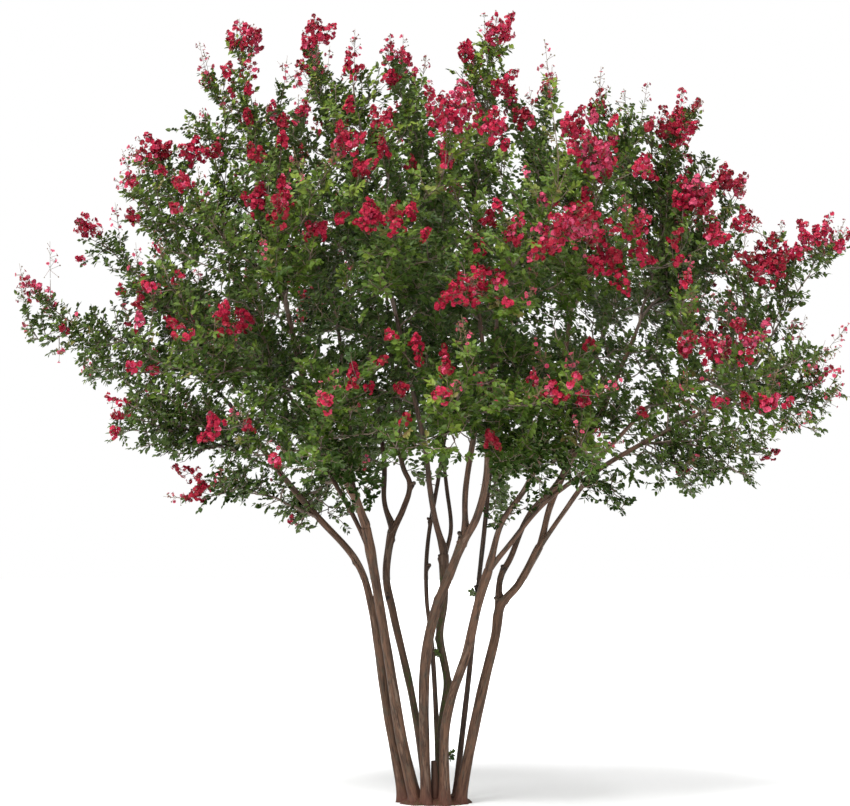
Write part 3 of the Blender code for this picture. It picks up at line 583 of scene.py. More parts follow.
# limb, height, facing, length, radius: what is left of a cut twig
stubs = (
    ("left_back_stem", 1.34, 350, 0.050, 0.013), ("crooked_bough", 2.15, 350, 0.055, 0.012),
    ("thin_stem", 1.58, 350, 0.040, 0.011), ("thin_stem", 1.90, 190, 0.032, 0.008),
    ("mossy_stem", 1.64, 185, 0.042, 0.011), ("centre_stem", 1.78, 200, 0.052, 0.013),
    ("right_stem", 1.34, 185, 0.060, 0.012), ("right_stem", 1.37, 20, 0.050, 0.010),
    ("right_inner_bough", 1.57, 240, 0.042, 0.012), ("back_left_stem", 1.77, 350, 0.034, 0.008),
    ("back_left_stem", 1.38, 250, 0.040, 0.009), ("back_right_stem", 1.44, 200, 0.034, 0.008),
    ("right_outer_bough", 2.20, 270, 0.036, 0.007), ("left_front_bough", 2.12, 200, 0.038, 0.009),
)

sawnStem = ((0.008, -0.085, 0.03), (0.006, -0.088, 0.12), (0.004, -0.092, 0.22), (0.002, -0.095, 0.29))

# limb, lowest and highest point, facing, strength: where moss grows
mossBands = (
    ("mossy_stem", 0.42, 1.36, 235, 0.9), ("mossy_stem", 1.00, 1.60, 185, 0.9),
    ("back_left_stem", 0.45, 0.95, 290, 0.8), ("left_back_stem", 1.00, 1.22, 20, 0.7),
    ("thin_stem", 0.10, 0.60, 260, 0.5), ("centre_stem", 1.60, 1.80, 160, 0.4),
)


def offFrom(centres, sides, overs, angle, height, facing):
    # the ring at that height, and how far round from the facing side each point is
    k = int(np.abs(centres[:, 2] - height).argmin())
    way = facingWay(facing)
    middle = math.atan2(way @ overs[k], way @ sides[k])
    return k, (angle - middle + math.pi) % (2 * math.pi) - math.pi


def unitTube(rings, sides):
    # an upright tube of radius 1 with its rings one unit apart, closed at both ends
    bm = bmesh.new()
    bmesh.ops.create_cone(bm, cap_ends=True, segments=sides, radius1=1, radius2=1, depth=rings - 1)
    uprights = [e for e in bm.edges if abs(e.verts[0].co.z - e.verts[1].co.z) > 0.5]
    bmesh.ops.subdivide_edges(bm, edges=uprights, cuts=rings - 2, use_grid_fill=True)
    mesh = meshFrom(bm, "tube")
    co = np.empty(len(mesh.vertices) * 3, np.float32)
    mesh.vertices.foreach_get("co", co)
    co = co.reshape(-1, 3)
    return mesh, np.rint(co[:, 2] + (rings - 1) / 2).astype(int), np.arctan2(co[:, 1], co[:, 0])


def wrapped(mesh, centres, sides, overs, ring, angle, r, along):
    # a unit tube's points brought to their radii round the centres, and the bark's grain there
    co = centres[ring] + (sides[ring] * np.cos(angle)[:, None] + overs[ring] * np.sin(angle)[:, None]) * r[:, None]
    co[:, 2] = np.maximum(co[:, 2], 0)
    mesh.vertices.foreach_set("co", co.astype(np.float32).ravel())
    along = np.broadcast_to(along, r.shape)
    return co, np.stack([r * np.cos(angle), r * np.sin(angle), along], 1)


def barkMarks(grain, paintedLight, moss=0, knot=0, foot=0):
    # what the bark shows at each point, and how much painted shade it takes
    given = {"paintedLight": paintedLight, "moss": moss, "knot": knot, "foot": foot}
    return {"grain": grain, **{kind: np.zeros(len(grain)) + value for kind, value in given.items()}}


def limbRadii(limb, distance, total):
    look = barkLook
    radii = limb.radius + (limb.tipRadius - limb.radius) * np.clip(distance / total, 0, 1)
    on = np.maximum(distance, 0)
    if not limb.parent:
        flare, height = look["flare"]
        radii = radii * (1 + flare * np.exp(-distance / height))
    elif limb.share == 1:  # it takes over from its parent's tip, and hides that tip inside a slight collar
        collar, length = look["collar"]
        before = limbs[limb.parent].tipRadius * collar
        radii = radii + (before - limb.radius) * np.exp(-(on / length) ** 2)
        radii = radii * (1 + 4.4 * np.minimum(distance, 0))
    else:
        radii = radii * (1 + 0.5 * np.exp(-on / 0.05))
    swell, length = look["forkSwell"]
    tuck, tuckLength = look["tuck"]
    for child in boughs:
        if child.parent == limb.name and child.share < 1:
            place = min(total * child.share, total - length)
            radii = radii * (1 + swell * np.exp(-((distance - place) / length) ** 2))
        elif child.parent == limb.name:
            end = np.clip((distance - total + tuckLength) / tuckLength, 0, 1)
            radii = radii * (1 - tuck * end * end * (3 - 2 * end))
    return radii


def limbSurface(limb, path, parentPath, number, before):
    # the limb's mesh with flutes, swellings and knots, and what its bark shows at each point. A limb that carries
    # on from its parent's tip takes the parent's flutes and bark on from there
    number, start, side = before or (number, 0.0, None)
    total = marksAlong(path)[-1]
    lead = 0.05 if limb.parent and limb.share == 1 else 0
    if lead:
        back = pointAt(parentPath, marksAlong(parentPath)[-1] - lead)
        path = np.vstack([back, path])
    count = int(total / barkLook["ringGap"])
    distance = np.linspace(-lead, total, count)
    centres = pointAt(path, distance + (marksAlong(path)[-1] - total))
    sides, overs = sweptFrames(centres, side)
    mesh, ring, angle = unitTube(count, barkLook["boughSides" if limb.parent else "stemSides"])
    d = distance[ring]
    run = d + start
    radius = limbRadii(limb, distance, total)[ring]
    wave = np.ones(len(ring))
    for k, (lobes, depth, twist) in enumerate(barkLook["flutes"]):
        wave += depth * np.sin(lobes * angle + twist * run * math.pi + number * 1.7 + k * 2.1)
    wave += barkLook["swell"] * np.sin(run * 17 + number) * np.sin(run * 5.3 + number * 2)
    if not limb.parent:
        depth, height = barkLook["footLobes"]
        wave += depth * np.exp(-d / height) * np.sin(3 * angle + number * 2.4)
    r = radius * wave
    knot = np.zeros(len(ring))
    moss = np.zeros(len(ring))
    for name, height, facing, width, rise in knots:
        if name == limb.name:
            k, off = offFrom(centres, sides, overs, angle, height, facing)
            weight = np.exp(-((d - distance[k]) ** 2 + (off * radius) ** 2) / width**2)
            r += rise * weight
            knot = np.maximum(knot, weight * min(1, rise / 0.012))
    for name, low, high, facing, strength in mossBands:
        if name == limb.name:
            _, off = offFrom(centres, sides, overs, angle, (low + high) / 2, facing)
            z = centres[ring, 2]
            weight = np.clip((z - low) / 0.1, 0, 1) * np.clip((high - z) / 0.1, 0, 1) * np.exp(-(off / 1.5) ** 2)
            moss = np.maximum(moss, strength * weight)
    left = np.clip((total - d) / limb.tipRadius, 0, 1)  # the tip is rounded
    r *= np.sqrt(1 - (1 - left) ** 2) * 0.97 + 0.03
    co, grain = wrapped(mesh, centres, sides, overs, ring, angle, r, run + number * 3.1)
    foot = 0 if limb.parent else np.exp(-co[:, 2] / 0.10)
    marks = barkMarks(grain, barkLook["paintedLightByLimb"][limb.name], moss, knot, foot)
    onward = (number, start + total, sides[int(np.abs(distance - total + 0.05).argmin())])
    return (mesh, marks), onward


def stubSurface(name, height, facing, length, radius, path, number):
    # a short rounded peg that stands out of the limb, its end a little hollow
    k = int(np.abs(path[:, 2] - height).argmin())
    way = unit(facingWay(facing, 0.5))
    limb = limbs[name]
    reach = max(limb.radius, limb.tipRadius) * 0.6 + length * 0.62
    count = 14
    distance = np.linspace(0, reach, count)
    centres = path[k] + way * distance[:, None] + up * 0.25 * distance[:, None] ** 2 / reach
    sides, overs = sweptFrames(centres)
    mesh, ring, angle = unitTube(count, 14)
    share = distance[ring] / reach
    r = radius * (1.9 - 0.85 * share ** 0.7) * (1 + 0.12 * np.sin(3 * angle + number)
                                               + 0.07 * np.sin(share * 15 + number))
    r *= np.sqrt(1 - np.clip((share - 0.72) / 0.28, 0, 1) ** 2) * 0.85 + 0.15
    _, grain = wrapped(mesh, centres, sides, overs, ring, angle, r, distance[ring] + number * 1.3)
    knot = 0.2 + 0.7 * np.clip((share - 0.7) / 0.3, 0, 1)
    # painted shade: a stub is a little darker than its limb
    return mesh, barkMarks(grain, barkLook["paintedLightByLimb"][name] * 0.8, knot=knot)


def cutStem(path):
    # the stump of a stem that was sawn off low down
    mesh, ring, angle = unitTube(len(path), 16)
    sides, overs = sweptFrames(path)
    share = ring / (len(path) - 1)
    r = barkLook["stump"] * (1.3 - 0.35 * share) * (1 + 0.07 * np.sin(3 * angle + 4 * share) + 0.04 * np.sin(5 * angle))
    co, grain = wrapped(mesh, path, sides, overs, ring, angle, r, 0)
    grain[:, 2] = co[:, 2] + 50
    # painted shade: the stump is darkened as if partly shaded
    return mesh, barkMarks(grain, 0.4, knot=np.clip(share - 0.8, 0, 1), foot=np.exp(-co[:, 2] / 0.15))


def rootMound():
    # the low gnarled mound that the stems rise from, with a root running out below each, cut flat at the ground
    width, depth, height = barkLook["mound"]
    crestReach = barkLook["moundCrest"]
    bm = bmesh.new()
    bmesh.ops.create_uvsphere(bm, u_segments=120, v_segments=56, radius=1)
    for v in bm.verts:
        angle = math.atan2(v.co.y, v.co.x)
        away = math.hypot(v.co.x, v.co.y)
        ridge = 1 + 0.06 * math.sin(5 * angle + 1) + 0.05 * math.sin(9 * angle + 2) + 0.03 * math.sin(17 * angle)
        x, y = v.co.x * width * ridge, v.co.y * depth * ridge
        crest = max(math.exp(-((x - fx) ** 2 + (y - fy) ** 2) / crestReach**2) for fx, fy in stemFeet.values())
        root = max(math.exp(-((math.atan2(math.sin(angle - way), math.cos(angle - way))) / 0.16) ** 2)
                   for way in (math.atan2(fy, fx) for fx, fy in stemFeet.values()))
        rough = noise.noise(Vector((x, y, v.co.z * 0.08)) * 34) * 0.16 + noise.noise(Vector((x, y, 0.5)) * 85) * 0.08
        rise = 0.60 + 0.28 * crest + 0.22 * root * away + rough
        v.co = Vector((x, y, v.co.z * height * rise))
    geometry = [*bm.verts, *bm.edges, *bm.faces]
    cut = bmesh.ops.bisect_plane(bm, geom=geometry, plane_co=(0, 0, 0), plane_no=(0, 0, -1), clear_outer=True)
    rim = [g for g in cut["geom_cut"] if isinstance(g, bmesh.types.BMEdge)]
    bmesh.ops.holes_fill(bm, edges=rim, sides=0)
    bmesh.ops.recalc_face_normals(bm, faces=bm.faces)
    mesh = meshFrom(bm, "mound")
    co = np.array([v.co for v in mesh.vertices])
    # painted shade: the mound is darkened as if mostly shaded
    return mesh, barkMarks(co * (1, 1, 1.6) + 7, 0.35, moss=0.30, foot=1)


def joinedBark(name, parts, material, nodes):
    bm = bmesh.new()
    for mesh, _ in parts:
        bm.from_mesh(mesh)
    mesh = meshFrom(bm, name)
    for kind in parts[0][1]:
        values = np.concatenate([marks[kind] for _, marks in parts]).astype(np.float32)
        shape = "FLOAT_VECTOR" if kind == "grain" else "FLOAT"
        attribute = mesh.attributes.new(kind, shape, "POINT")
        attribute.data.foreach_set("vector" if kind == "grain" else "value", values.ravel())
    mesh.polygons.foreach_set("use_smooth", np.full(len(mesh.polygons), True))
    for part, _ in parts:
        bpy.data.meshes.remove(part)
    print(name, "triangles", trianglesOf(mesh))
    return pieceOf(name, mesh, [material], nodes)


def buildBark(paths):
    bark = barkMaterial()
    stemParts, boughParts = [rootMound()], []
    onward = {}
    for number, limb in enumerate(limbs.values()):
        before = onward[limb.parent] if limb.parent and limb.share == 1 else None
        made, onward[limb.name] = limbSurface(limb, paths[limb.name], paths.get(limb.parent), number + 1, before)
        (boughParts if limb.parent else stemParts).append(made)
    for number, stub in enumerate(stubs):
        made = stubSurface(*stub, paths[stub[0]], number + 1)
        (boughParts if limbs[stub[0]].parent else stemParts).append(made)
    stemParts.append(cutStem(smoothPath(sawnStem, 8)))
    joinedBark("bark_stems", stemParts, bark, ["root_crown", *(limb.name for limb in stems)])
    joinedBark("bark_boughs", boughParts, bark, [limb.name for limb in boughs])


# Shoots

shootLook = {
    "seed": 11,
    "axisPoints": 14,
    "leaderBend": 0.030,
    "forkBend": 0.016,
    "leaderRadius": (0.0115, 0.0032),
    "forkRadius": (0.0062, 0.0024),
    "forksPerMetre": 4.4,  # upright forks on a leader
    "forkSpan": (0.04, 0.80),
    "forkReach": (0.45, 0.90),
    "boughGap": 0.14,  # between the shoots on a bough
    "boughLowest": 2.38,  # no shoot stands lower than this on a bough
    "leaderPlume": 0.58,  # how wide the side shoots on a leader and on a fork stand, as a share of the mass
    "forkPlume": 0.40,
    "branchGap": 0.080,  # along a leader or fork
    "branchSpan": (0.12, 0.98),
    "branchRadius": (0.0040, 0.0018),
    "tallShare": 0.12,  # of the side shoots, which grow past the rest and more upright
    "bearerReach": 0.16,  # from a leader or fork to the large head that it bears
    "aroundHead": 0.22,  # the shoots this near to a head say how far in front it stands
    "twigGap": 0.050,  # along a branch
    "axisTwigGap": 0.058,
    "twigLength": (0.060, 0.125),
    "twigRadius": (0.0019, 0.0011),
    "old": ((0.085, 0.056, 0.040), (0.135, 0.092, 0.066)),
    "young": ((0.100, 0.070, 0.028), (0.135, 0.060, 0.038)),
}

# the large heads of blossom on the best side: across, height, and how far each reaches from its middle
heads = (
    (0.86, 3.97, 0.165), (1.09, 4.45, 0.16), (0.09, 4.76, 0.17), (1.04, 3.98, 0.145), (1.22, 3.72, 0.125),
    (1.80, 4.17, 0.14), (2.29, 3.72, 0.17), (0.44, 5.30, 0.12), (1.91, 3.09, 0.12), (1.65, 4.63, 0.15),
    (-0.44, 4.02, 0.11), (0.38, 4.62, 0.11), (0.23, 3.57, 0.15), (2.12, 3.16, 0.10), (-1.29, 5.24, 0.11),
    (-0.81, 5.29, 0.105), (-1.69, 4.47, 0.12), (0.95, 4.62, 0.11), (0.62, 4.68, 0.10), (2.60, 3.90, 0.11),
    (-0.64, 4.54, 0.11), (-1.23, 4.13, 0.105), (-1.92, 4.48, 0.11), (1.89, 3.88, 0.09), (2.16, 4.00, 0.095),
    (0.44, 4.93, 0.105), (0.21, 5.14, 0.09), (-1.31, 3.28, 0.10), (1.97, 4.29, 0.105), (-1.51, 2.58, 0.09),
    (0.385, 2.43, 0.07), (-0.21, 4.02, 0.07), (1.39, 3.74, 0.08), (-1.73, 4.24, 0.08), (-0.53, 4.34, 0.08),
    (-1.49, 3.32, 0.10), (-0.83, 3.90, 0.08), (2.76, 3.80, 0.07), (1.69, 3.16, 0.08), (1.39, 4.37, 0.085),
    (2.38, 2.70, 0.05), (-0.21, 2.84, 0.065), (-2.43, 3.93, 0.085), (2.84, 3.87, 0.065), (0.05, 4.36, 0.065),
    (-1.26, 4.42, 0.065), (2.47, 3.76, 0.085), (-1.94, 3.52, 0.065), (1.01, 2.71, 0.065), (0.07, 2.93, 0.065),
    (0.78, 2.80, 0.08), (-1.53, 4.44, 0.065), (-2.05, 2.98, 0.065), (1.97, 2.72, 0.065), (0.49, 3.40, 0.05),
    (2.14, 2.72, 0.065), (-1.60, 2.14, 0.08), (-0.71, 4.00, 0.065), (-0.58, 2.92, 0.065), (-0.34, 4.97, 0.08),
    (-2.10, 4.23, 0.065), (-1.04, 4.10, 0.065), (1.50, 4.27, 0.055), (1.72, 3.53, 0.065), (-0.38, 4.69, 0.08),
    (1.04, 3.10, 0.045), (-1.07, 4.51, 0.065), (-0.61, 4.76, 0.065), (-1.46, 5.00, 0.065), (-0.36, 4.43, 0.075),
    (-0.14, 3.11, 0.065), (-0.49, 2.81, 0.05), (-2.03, 3.27, 0.065), (0.35, 3.97, 0.065), (-1.31, 4.87, 0.065),
    (0.73, 4.09, 0.05), (-2.06, 3.99, 0.065), (-1.29, 2.54, 0.065), (-0.30, 3.16, 0.05), (-2.42, 3.72, 0.05),
    (-1.31, 4.67, 0.065), (1.62, 3.69, 0.05), (-0.40, 2.98, 0.05), (1.06, 3.62, 0.05), (2.27, 2.71, 0.08),
    (1.70, 4.13, 0.08), (-0.21, 5.10, 0.05), (2.06, 3.92, 0.05), (0.92, 4.45, 0.05), (0.47, 4.49, 0.05),
    (-1.79, 3.27, 0.05), (0.43, 4.06, 0.05), (0.80, 3.78, 0.05), (-1.08, 4.21, 0.065), (0.04, 3.04, 0.05),
    (1.45, 2.66, 0.05), (-0.22, 2.58, 0.05), (-2.55, 3.21, 0.05), (0.68, 3.90, 0.05), (-0.97, 4.74, 0.05),
    (0.45, 3.53, 0.05), (1.04, 4.13, 0.05), (-1.77, 3.56, 0.05), (-1.91, 4.31, 0.05), (-1.77, 4.06, 0.05),
    (-1.07, 4.65, 0.05), (1.80, 4.78, 0.05), (1.17, 4.31, 0.05), (1.46, 4.62, 0.05), (2.06, 3.24, 0.05),
    (-1.91, 2.94, 0.05), (-1.07, 2.31, 0.05), (-2.14, 2.64, 0.05), (1.21, 4.65, 0.05), (2.25, 3.24, 0.05),
    (0.65, 2.86, 0.05), (1.08, 4.67, 0.05), (-2.20, 2.52, 0.05), (-0.60, 2.82, 0.05), (-0.10, 3.00, 0.05),
    (-0.12, 3.88, 0.05),
)

# the open sprays of capsules and late flowers at the outline: across, height and length
seedHeads = (
    (-2.89, 3.51, 0.22), (-2.82, 3.40, 0.20), (-2.66, 3.64, 0.26), (-2.10, 4.17, 0.16), (-1.58, 5.03, 0.20),
    (-0.92, 4.93, 0.26), (0.78, 5.01, 0.22), (1.13, 4.87, 0.20), (1.31, 4.81, 0.20), (1.43, 4.78, 0.18),
    (2.69, 3.15, 0.20), (2.72, 2.92, 0.20), (2.60, 3.06, 0.18), (-1.69, 2.10, 0.16), (-1.95, 3.40, 0.16),
    (-0.57, 5.15, 0.18), (-0.10, 4.99, 0.16), (2.08, 4.18, 0.16), (1.78, 4.74, 0.16), (2.25, 3.89, 0.16),
    (-2.57, 3.28, 0.16),
)

# gaps in the crown where the sky shows, across the same side: across, height and radius
openSky = (
    (-0.56, 5.10, 0.07), (-0.69, 5.22, 0.14), (-0.55, 4.93, 0.045), (-1.16, 4.98, 0.10), (-1.14, 4.81, 0.07),
    (1.95, 4.67, 0.13), (2.17, 4.41, 0.16), (2.38, 4.22, 0.21), (2.57, 4.36, 0.24), (2.47, 3.96, 0.09),
    (2.00, 4.85, 0.14), (-2.38, 3.45, 0.11), (-2.56, 3.51, 0.12), (-2.24, 4.06, 0.09), (-2.30, 4.27, 0.09),
    (2.69, 3.42, 0.15), (2.78, 3.17, 0.11), (1.24, 5.04, 0.18), (0.32, 2.25, 0.10), (2.36, 2.11, 0.14),
    (2.75, 2.55, 0.10), (0.20, 2.44, 0.08), (-2.75, 3.59, 0.10), (-0.50, 5.37, 0.18), (-1.66, 4.80, 0.09),
    (0.02, 5.12, 0.07), (0.88, 5.20, 0.17), (-1.32, 1.84, 0.11), (2.89, 2.89, 0.13), (2.28, 3.97, 0.09),
    (-2.28, 3.94, 0.11), (0.66, 5.00, 0.12), (0.66, 4.85, 0.06), (-1.64, 2.27, 0.08), (-0.93, 4.85, 0.085),
    (-2.09, 4.59, 0.10), (2.49, 3.32, 0.07), (1.86, 2.04, 0.09), (1.66, 2.03, 0.07), (2.88, 3.13, 0.07),
    (1.08, 5.01, 0.13), (-2.27, 2.67, 0.10), (2.10, 4.17, 0.09), (-2.08, 3.77, 0.06), (1.67, 4.84, 0.08),
    (-1.25, 4.82, 0.05), (1.00, 4.86, 0.05), (2.67, 2.87, 0.05),
)

eyePoint = np.array((-0.0607, -14.0, 1.55))  # the best side is seen from here
crownMiddle, crownReach = (0, 0, 3.2), (2.9, 2.4, 2.2)


def seenFrom(points):
    # where a point stands across the plane through the middle of the tree, seen from the best side
    return eyePoint + (points - eyePoint) * (-eyePoint[1] / (points[:, 1:2] - eyePoint[1]))


def seenGap(seen, x, z):
    # how far each point stands from that place, as seen from the best side
    return np.hypot(seen[:, 0] - x, seen[:, 2] - z)


def inOpenSky(points):
    seen = seenFrom(points.reshape(-1, 3))
    found = np.zeros(len(seen), bool)
    for x, z, radius in openSky:
        found |= seenGap(seen, x, z) < radius
    return found.reshape(points.shape[:-1])


def thinned(rows, kept):
    return {kind: values[kept] for kind, values in rows.items()}


def crownWidth(share):
    # how far shoots reach at that share of the leader: most below its middle, and less at its tip
    return np.sin(math.pi * np.minimum(1, share) ** 0.8).clip(0, 1) ** 0.6 * 0.75 + 0.30 * share


def withinBox(points, margin):
    return np.clip(points, np.array(cadBox[0]) + margin, np.array(cadBox[1]) - margin)


def insideBox(points, margin=0.02):
    return ((points > np.array(cadBox[0]) - margin) & (points < np.array(cadBox[1]) + margin)).all(-1)


def outwardShare(points):
    # how far out in the crown a point stands: 0 at its middle, 1 at its outside
    return np.linalg.norm((points - crownMiddle) / crownReach, axis=-1)


def bent(axes, rng, size):
    # a shoot bends a little at each year's growth
    t = np.linspace(0, 1, axes.shape[1])[None, :, None]
    for waves, share in ((2.3, 1.0), (4.7, 0.45)):
        phase = rng.uniform(0, 2 * math.pi, (len(axes), 1, 3))
        axes = axes + size * share * np.sin(t * waves * 2 * math.pi + phase) * np.sin(t * math.pi) * (1, 1, 0.3)
    return axes


def growLeaders(paths, rng):
    rows = []
    for mass in masses:
        path = paths[mass.limb]
        total = marksAlong(path)[-1]
        tip = np.array(mass.tip)
        if mass.share == 1:
            start, heading = pointAt(path, total - 0.03), headingAt(path, total - 0.02)
        else:
            start, heading = pointAt(path, total * mass.share), headingAt(path, total * mass.share)
            heading = unit(unit(tip - start) + heading * 0.4)
        rows.append((start, heading, tip, mass.lift))
    starts, headings, tips, lifts = columnsOf(rows)
    leaders = bent(arcs(starts, headings, tips, lifts, shootLook["axisPoints"]), rng, shootLook["leaderBend"])
    plume = shootLook["leaderPlume"]
    rows = [(m, mass.spread * plume, mass.lift, mass.bloom) for m, mass in enumerate(masses)]
    owner, spread, lift, bloom = columnsOf(rows)
    return {"paths": leaders, "owner": owner, "spread": spread, "lift": lift, "bloom": bloom}


# more forks where the crown is fuller: the mass, where on its leader, and the fork's tip
extraForks = (
    ("far_left", 0.35, (-2.05, -0.15, 2.90)), ("far_left", 0.55, (-2.30, 0.20, 2.78)),
    ("low_left", 0.45, (-2.10, 0.25, 2.75)), ("low_left", 0.70, (-2.25, -0.30, 2.62)),
    ("far_left", 0.65, (-2.35, -0.20, 3.00)), ("low_left", 0.30, (-1.80, -0.45, 2.75)),
    ("right_top", 0.45, (1.30, -0.10, 4.50)), ("right_top", 0.35, (1.25, 0.30, 4.35)),
    ("top_right", 0.60, (1.32, -0.20, 4.55)), ("low_right", 0.25, (1.70, 0.10, 2.28)),
    ("low_right", 0.10, (1.55, -0.30, 2.14)),
    ("low_right", 0.30, (1.90, 0.30, 2.16)), ("low_right", 0.20, (1.75, -0.10, 2.08)),
    ("low_right", 0.50, (2.10, -0.30, 2.20)), ("low_right", 0.05, (1.35, 0.20, 2.20)),
    ("right_shoulder", 0.30, (1.95, -0.30, 3.30)), ("far_right", 0.40, (2.02, -0.45, 3.55)),
    ("right_shoulder", 0.20, (1.85, 0.30, 3.25)), ("far_right", 0.25, (2.10, 0.30, 3.30)),
    ("low_left", 0.55, (-1.95, -0.10, 2.42)), ("low_left", 0.35, (-1.75, 0.10, 2.35)),
    ("front_low_centre", 0.20, (0.70, -0.90, 2.12)), ("right_middle", 0.60, (2.50, 0.20, 2.70)),
    ("right_middle", 0.80, (2.68, -0.25, 2.85)), ("front_low_right", 0.30, (1.15, -0.95, 2.45)),
    ("front_right", 0.20, (1.30, -0.95, 2.50)), ("front_low_centre", 0.25, (0.55, -0.90, 2.40)),
    ("right_middle", 0.75, (2.60, -0.15, 2.68)), ("right_top", 0.30, (1.86, -0.15, 4.34)),
    ("far_left", 0.60, (-2.46, 0.05, 3.10)), ("front_low_right", 0.30, (0.96, -0.90, 2.05)),
    ("small_left_hanging", 0.50, (-0.62, 0.20, 1.88)), ("front_low_left", 0.12, (-0.58, -0.75, 2.06)),
    ("front_low_left", 0.08, (-0.40, -0.60, 2.08)), ("right_shoulder", 0.35, (2.06, -0.20, 3.70)),
    ("low_right", 0.75, (2.24, -0.30, 2.48)), ("top_left", 0.70, (-1.03, -0.10, 4.78)),
    ("top_centre_left", 0.85, (-0.40, -0.20, 4.90)), ("top_peak", 0.72, (0.22, -0.10, 4.92)),
    ("left_upper", 0.55, (-2.05, 0.20, 3.52)), ("left_shoulder", 0.75, (-2.03, -0.30, 4.13)),
    ("low_left_hanging", 0.50, (-1.41, -0.30, 2.28)), ("front_low_centre", 0.20, (0.77, -0.90, 2.24)),
    ("far_right", 0.50, (2.45, -0.30, 3.70)), ("top_left", 0.60, (-1.62, -0.20, 4.55)),
    ("far_left", 0.50, (-2.30, 0.20, 2.94)), ("low_left", 0.60, (-2.12, -0.10, 2.88)),
    ("right_middle", 0.85, (2.66, 0.10, 2.76)), ("left_shoulder", 0.40, (-1.82, -0.30, 3.72)),
    ("low_left", 0.50, (-2.00, -0.40, 2.70)), ("low_left", 0.40, (-2.00, 0.20, 2.50)),
    ("left_upper", 0.45, (-2.02, -0.20, 3.50)), ("right_top", 0.30, (1.90, 0.10, 4.38)),
    ("top_centre_left", 0.75, (-0.60, -0.20, 4.85)), ("top_left_inner", 0.70, (-0.62, 0.20, 4.92)),
    ("left_shoulder", 0.70, (-1.84, -0.10, 4.36)), ("top_right", 0.45, (0.66, -0.30, 4.36)),
    ("right_shoulder", 0.45, (2.06, 0.10, 3.76)), ("front_low_right", 0.25, (0.98, -0.60, 2.10)),
    ("right_top", 0.55, (1.48, -0.20, 4.58)),
)


def growForks(leaders, paths, rng):
    # upright forks on the leaders, and leafy shoots on the upper parts of the boughs
    look = shootLook
    rows = []
    for m, mass in enumerate(masses):
        length = marksAlong(leaders["paths"][m])[-1]
        count = max(2, round(length * look["forksPerMetre"]))
        low, high = look["forkSpan"]
        phase = rng.uniform(0, 2 * math.pi)
        for k in range(count):
            share = low + (high - low) * (k + rng.uniform(0.2, 0.8)) / count
            start, heading = seatOn(leaders["paths"][m:m + 1], np.array([0]), np.array([share]))
            out = turned(across(heading), heading, np.array([phase + k * golden]))
            way = unit(out * 0.85 + heading * 0.95 + up * (0.15 + 0.3 * max(0, mass.lift)))[0]
            reach = rng.uniform(*look["forkReach"]) * mass.spread / 0.46 * (1.15 - 0.45 * share)
            spread = mass.spread * look["forkPlume"] * rng.uniform(0.85, 1.15)
            rows.append((start[0], way, reach, m, spread, max(mass.lift, 0.0) + 0.35, mass.bloom * 0.9))
    for limb in limbs.values():
        path = paths[limb.name]
        total = marksAlong(path)[-1]
        near = [m for m, mass in enumerate(masses) if mass.limb == limb.name]
        if not near or path[-1][2] < look["boughLowest"]:
            continue
        phase = rng.uniform(0, 2 * math.pi)
        for k in range(int(total / look["boughGap"])):
            distance = (k + rng.uniform(0.2, 0.8)) * look["boughGap"]
            start = pointAt(path, distance)
            if start[2] < look["boughLowest"]:
                continue
            heading = headingAt(path, distance)
            out = turned(across(heading), heading, np.array(phase + k * golden))
            way = unit(out + heading * 0.45 + up * 0.25)
            rows.append((start, way, rng.uniform(0.40, 0.75), near[k % len(near)], 0.20, 0.3, 0.15))
    names = [mass.name for mass in masses]
    for name, share, tip in extraForks:
        row = names.index(f"{name}_foliage")
        start, heading = seatOn(leaders["paths"][row:row + 1], np.array([0]), np.array([share]))
        aim = np.array(tip) - start[0]
        rows.append((start[0], unit(aim), np.linalg.norm(aim), row, 0.22, 0.2, 0.4))
    start, way, reach, owner, spread, lift, bloom = columnsOf(rows)
    tips = withinBox(start + way * reach[:, None], 0.14)
    forks = bent(arcs(start, way, tips, lift, look["axisPoints"]), rng, look["forkBend"])
    rows = {"paths": forks, "owner": owner, "spread": spread, "lift": lift, "bloom": bloom}
    return thinned(rows, ~inOpenSky(forks[:, -4:]).any(1))


def joinedRows(*parts):
    return {kind: np.concatenate([part[kind] for part in parts]) for kind in parts[0]}


def plainShoots(start, way, tips, owner, reach, lift):
    # side shoots with no blossom of their own
    count = len(tips)
    return {"paths": arcs(start, way, tips, np.full(count, lift), 4), "owner": owner, "reach": reach,
            "bloom": np.zeros(count), "tall": np.zeros(count, bool)}


def growBranches(axes, rng):
    look = shootLook
    rows = []
    for a, path in enumerate(axes["paths"]):
        count = max(3, int(marksAlong(path)[-1] / look["branchGap"]))
        low, high = look["branchSpan"]
        phase = rng.uniform(0, 2 * math.pi)
        for k in range(count):
            share = low + (high - low) * (k + rng.uniform(0.1, 0.9)) / count
            rows.append((a, share, phase + k * golden + rng.uniform(-0.4, 0.4)))
    axis, share, turn = columnsOf(rows)
    axis = axis.astype(int)
    start, heading = seatOn(axes["paths"], axis, share)
    spread, lift = axes["spread"][axis], axes["lift"][axis]
    out = turned(across(heading), heading, turn)
    way = unit(out + heading * 0.55 + up * (0.35 + lift * 0.3)[:, None])
    tall = rng.random(len(axis)) < look["tallShare"]
    way = np.where(tall[:, None], unit(way + (heading * 0.5 + up * (0.3 + lift)[:, None])), way)
    reach = spread * crownWidth(share) * rng.uniform(0.75, 1.15, len(axis)) * np.where(tall, 1.25, 1)
    rise = lift * 0.9 + rng.uniform(0.0, 0.45, len(axis))
    tips = withinBox(start + unit(way + up * (rise * 0.25)[:, None]) * reach[:, None], 0.07)
    rows = {"paths": arcs(start, way, tips, rise, 4), "owner": axes["owner"][axis], "reach": reach,
            "bloom": axes["bloom"][axis], "tall": tall}
    return thinned(rows, ~inOpenSky(tips))


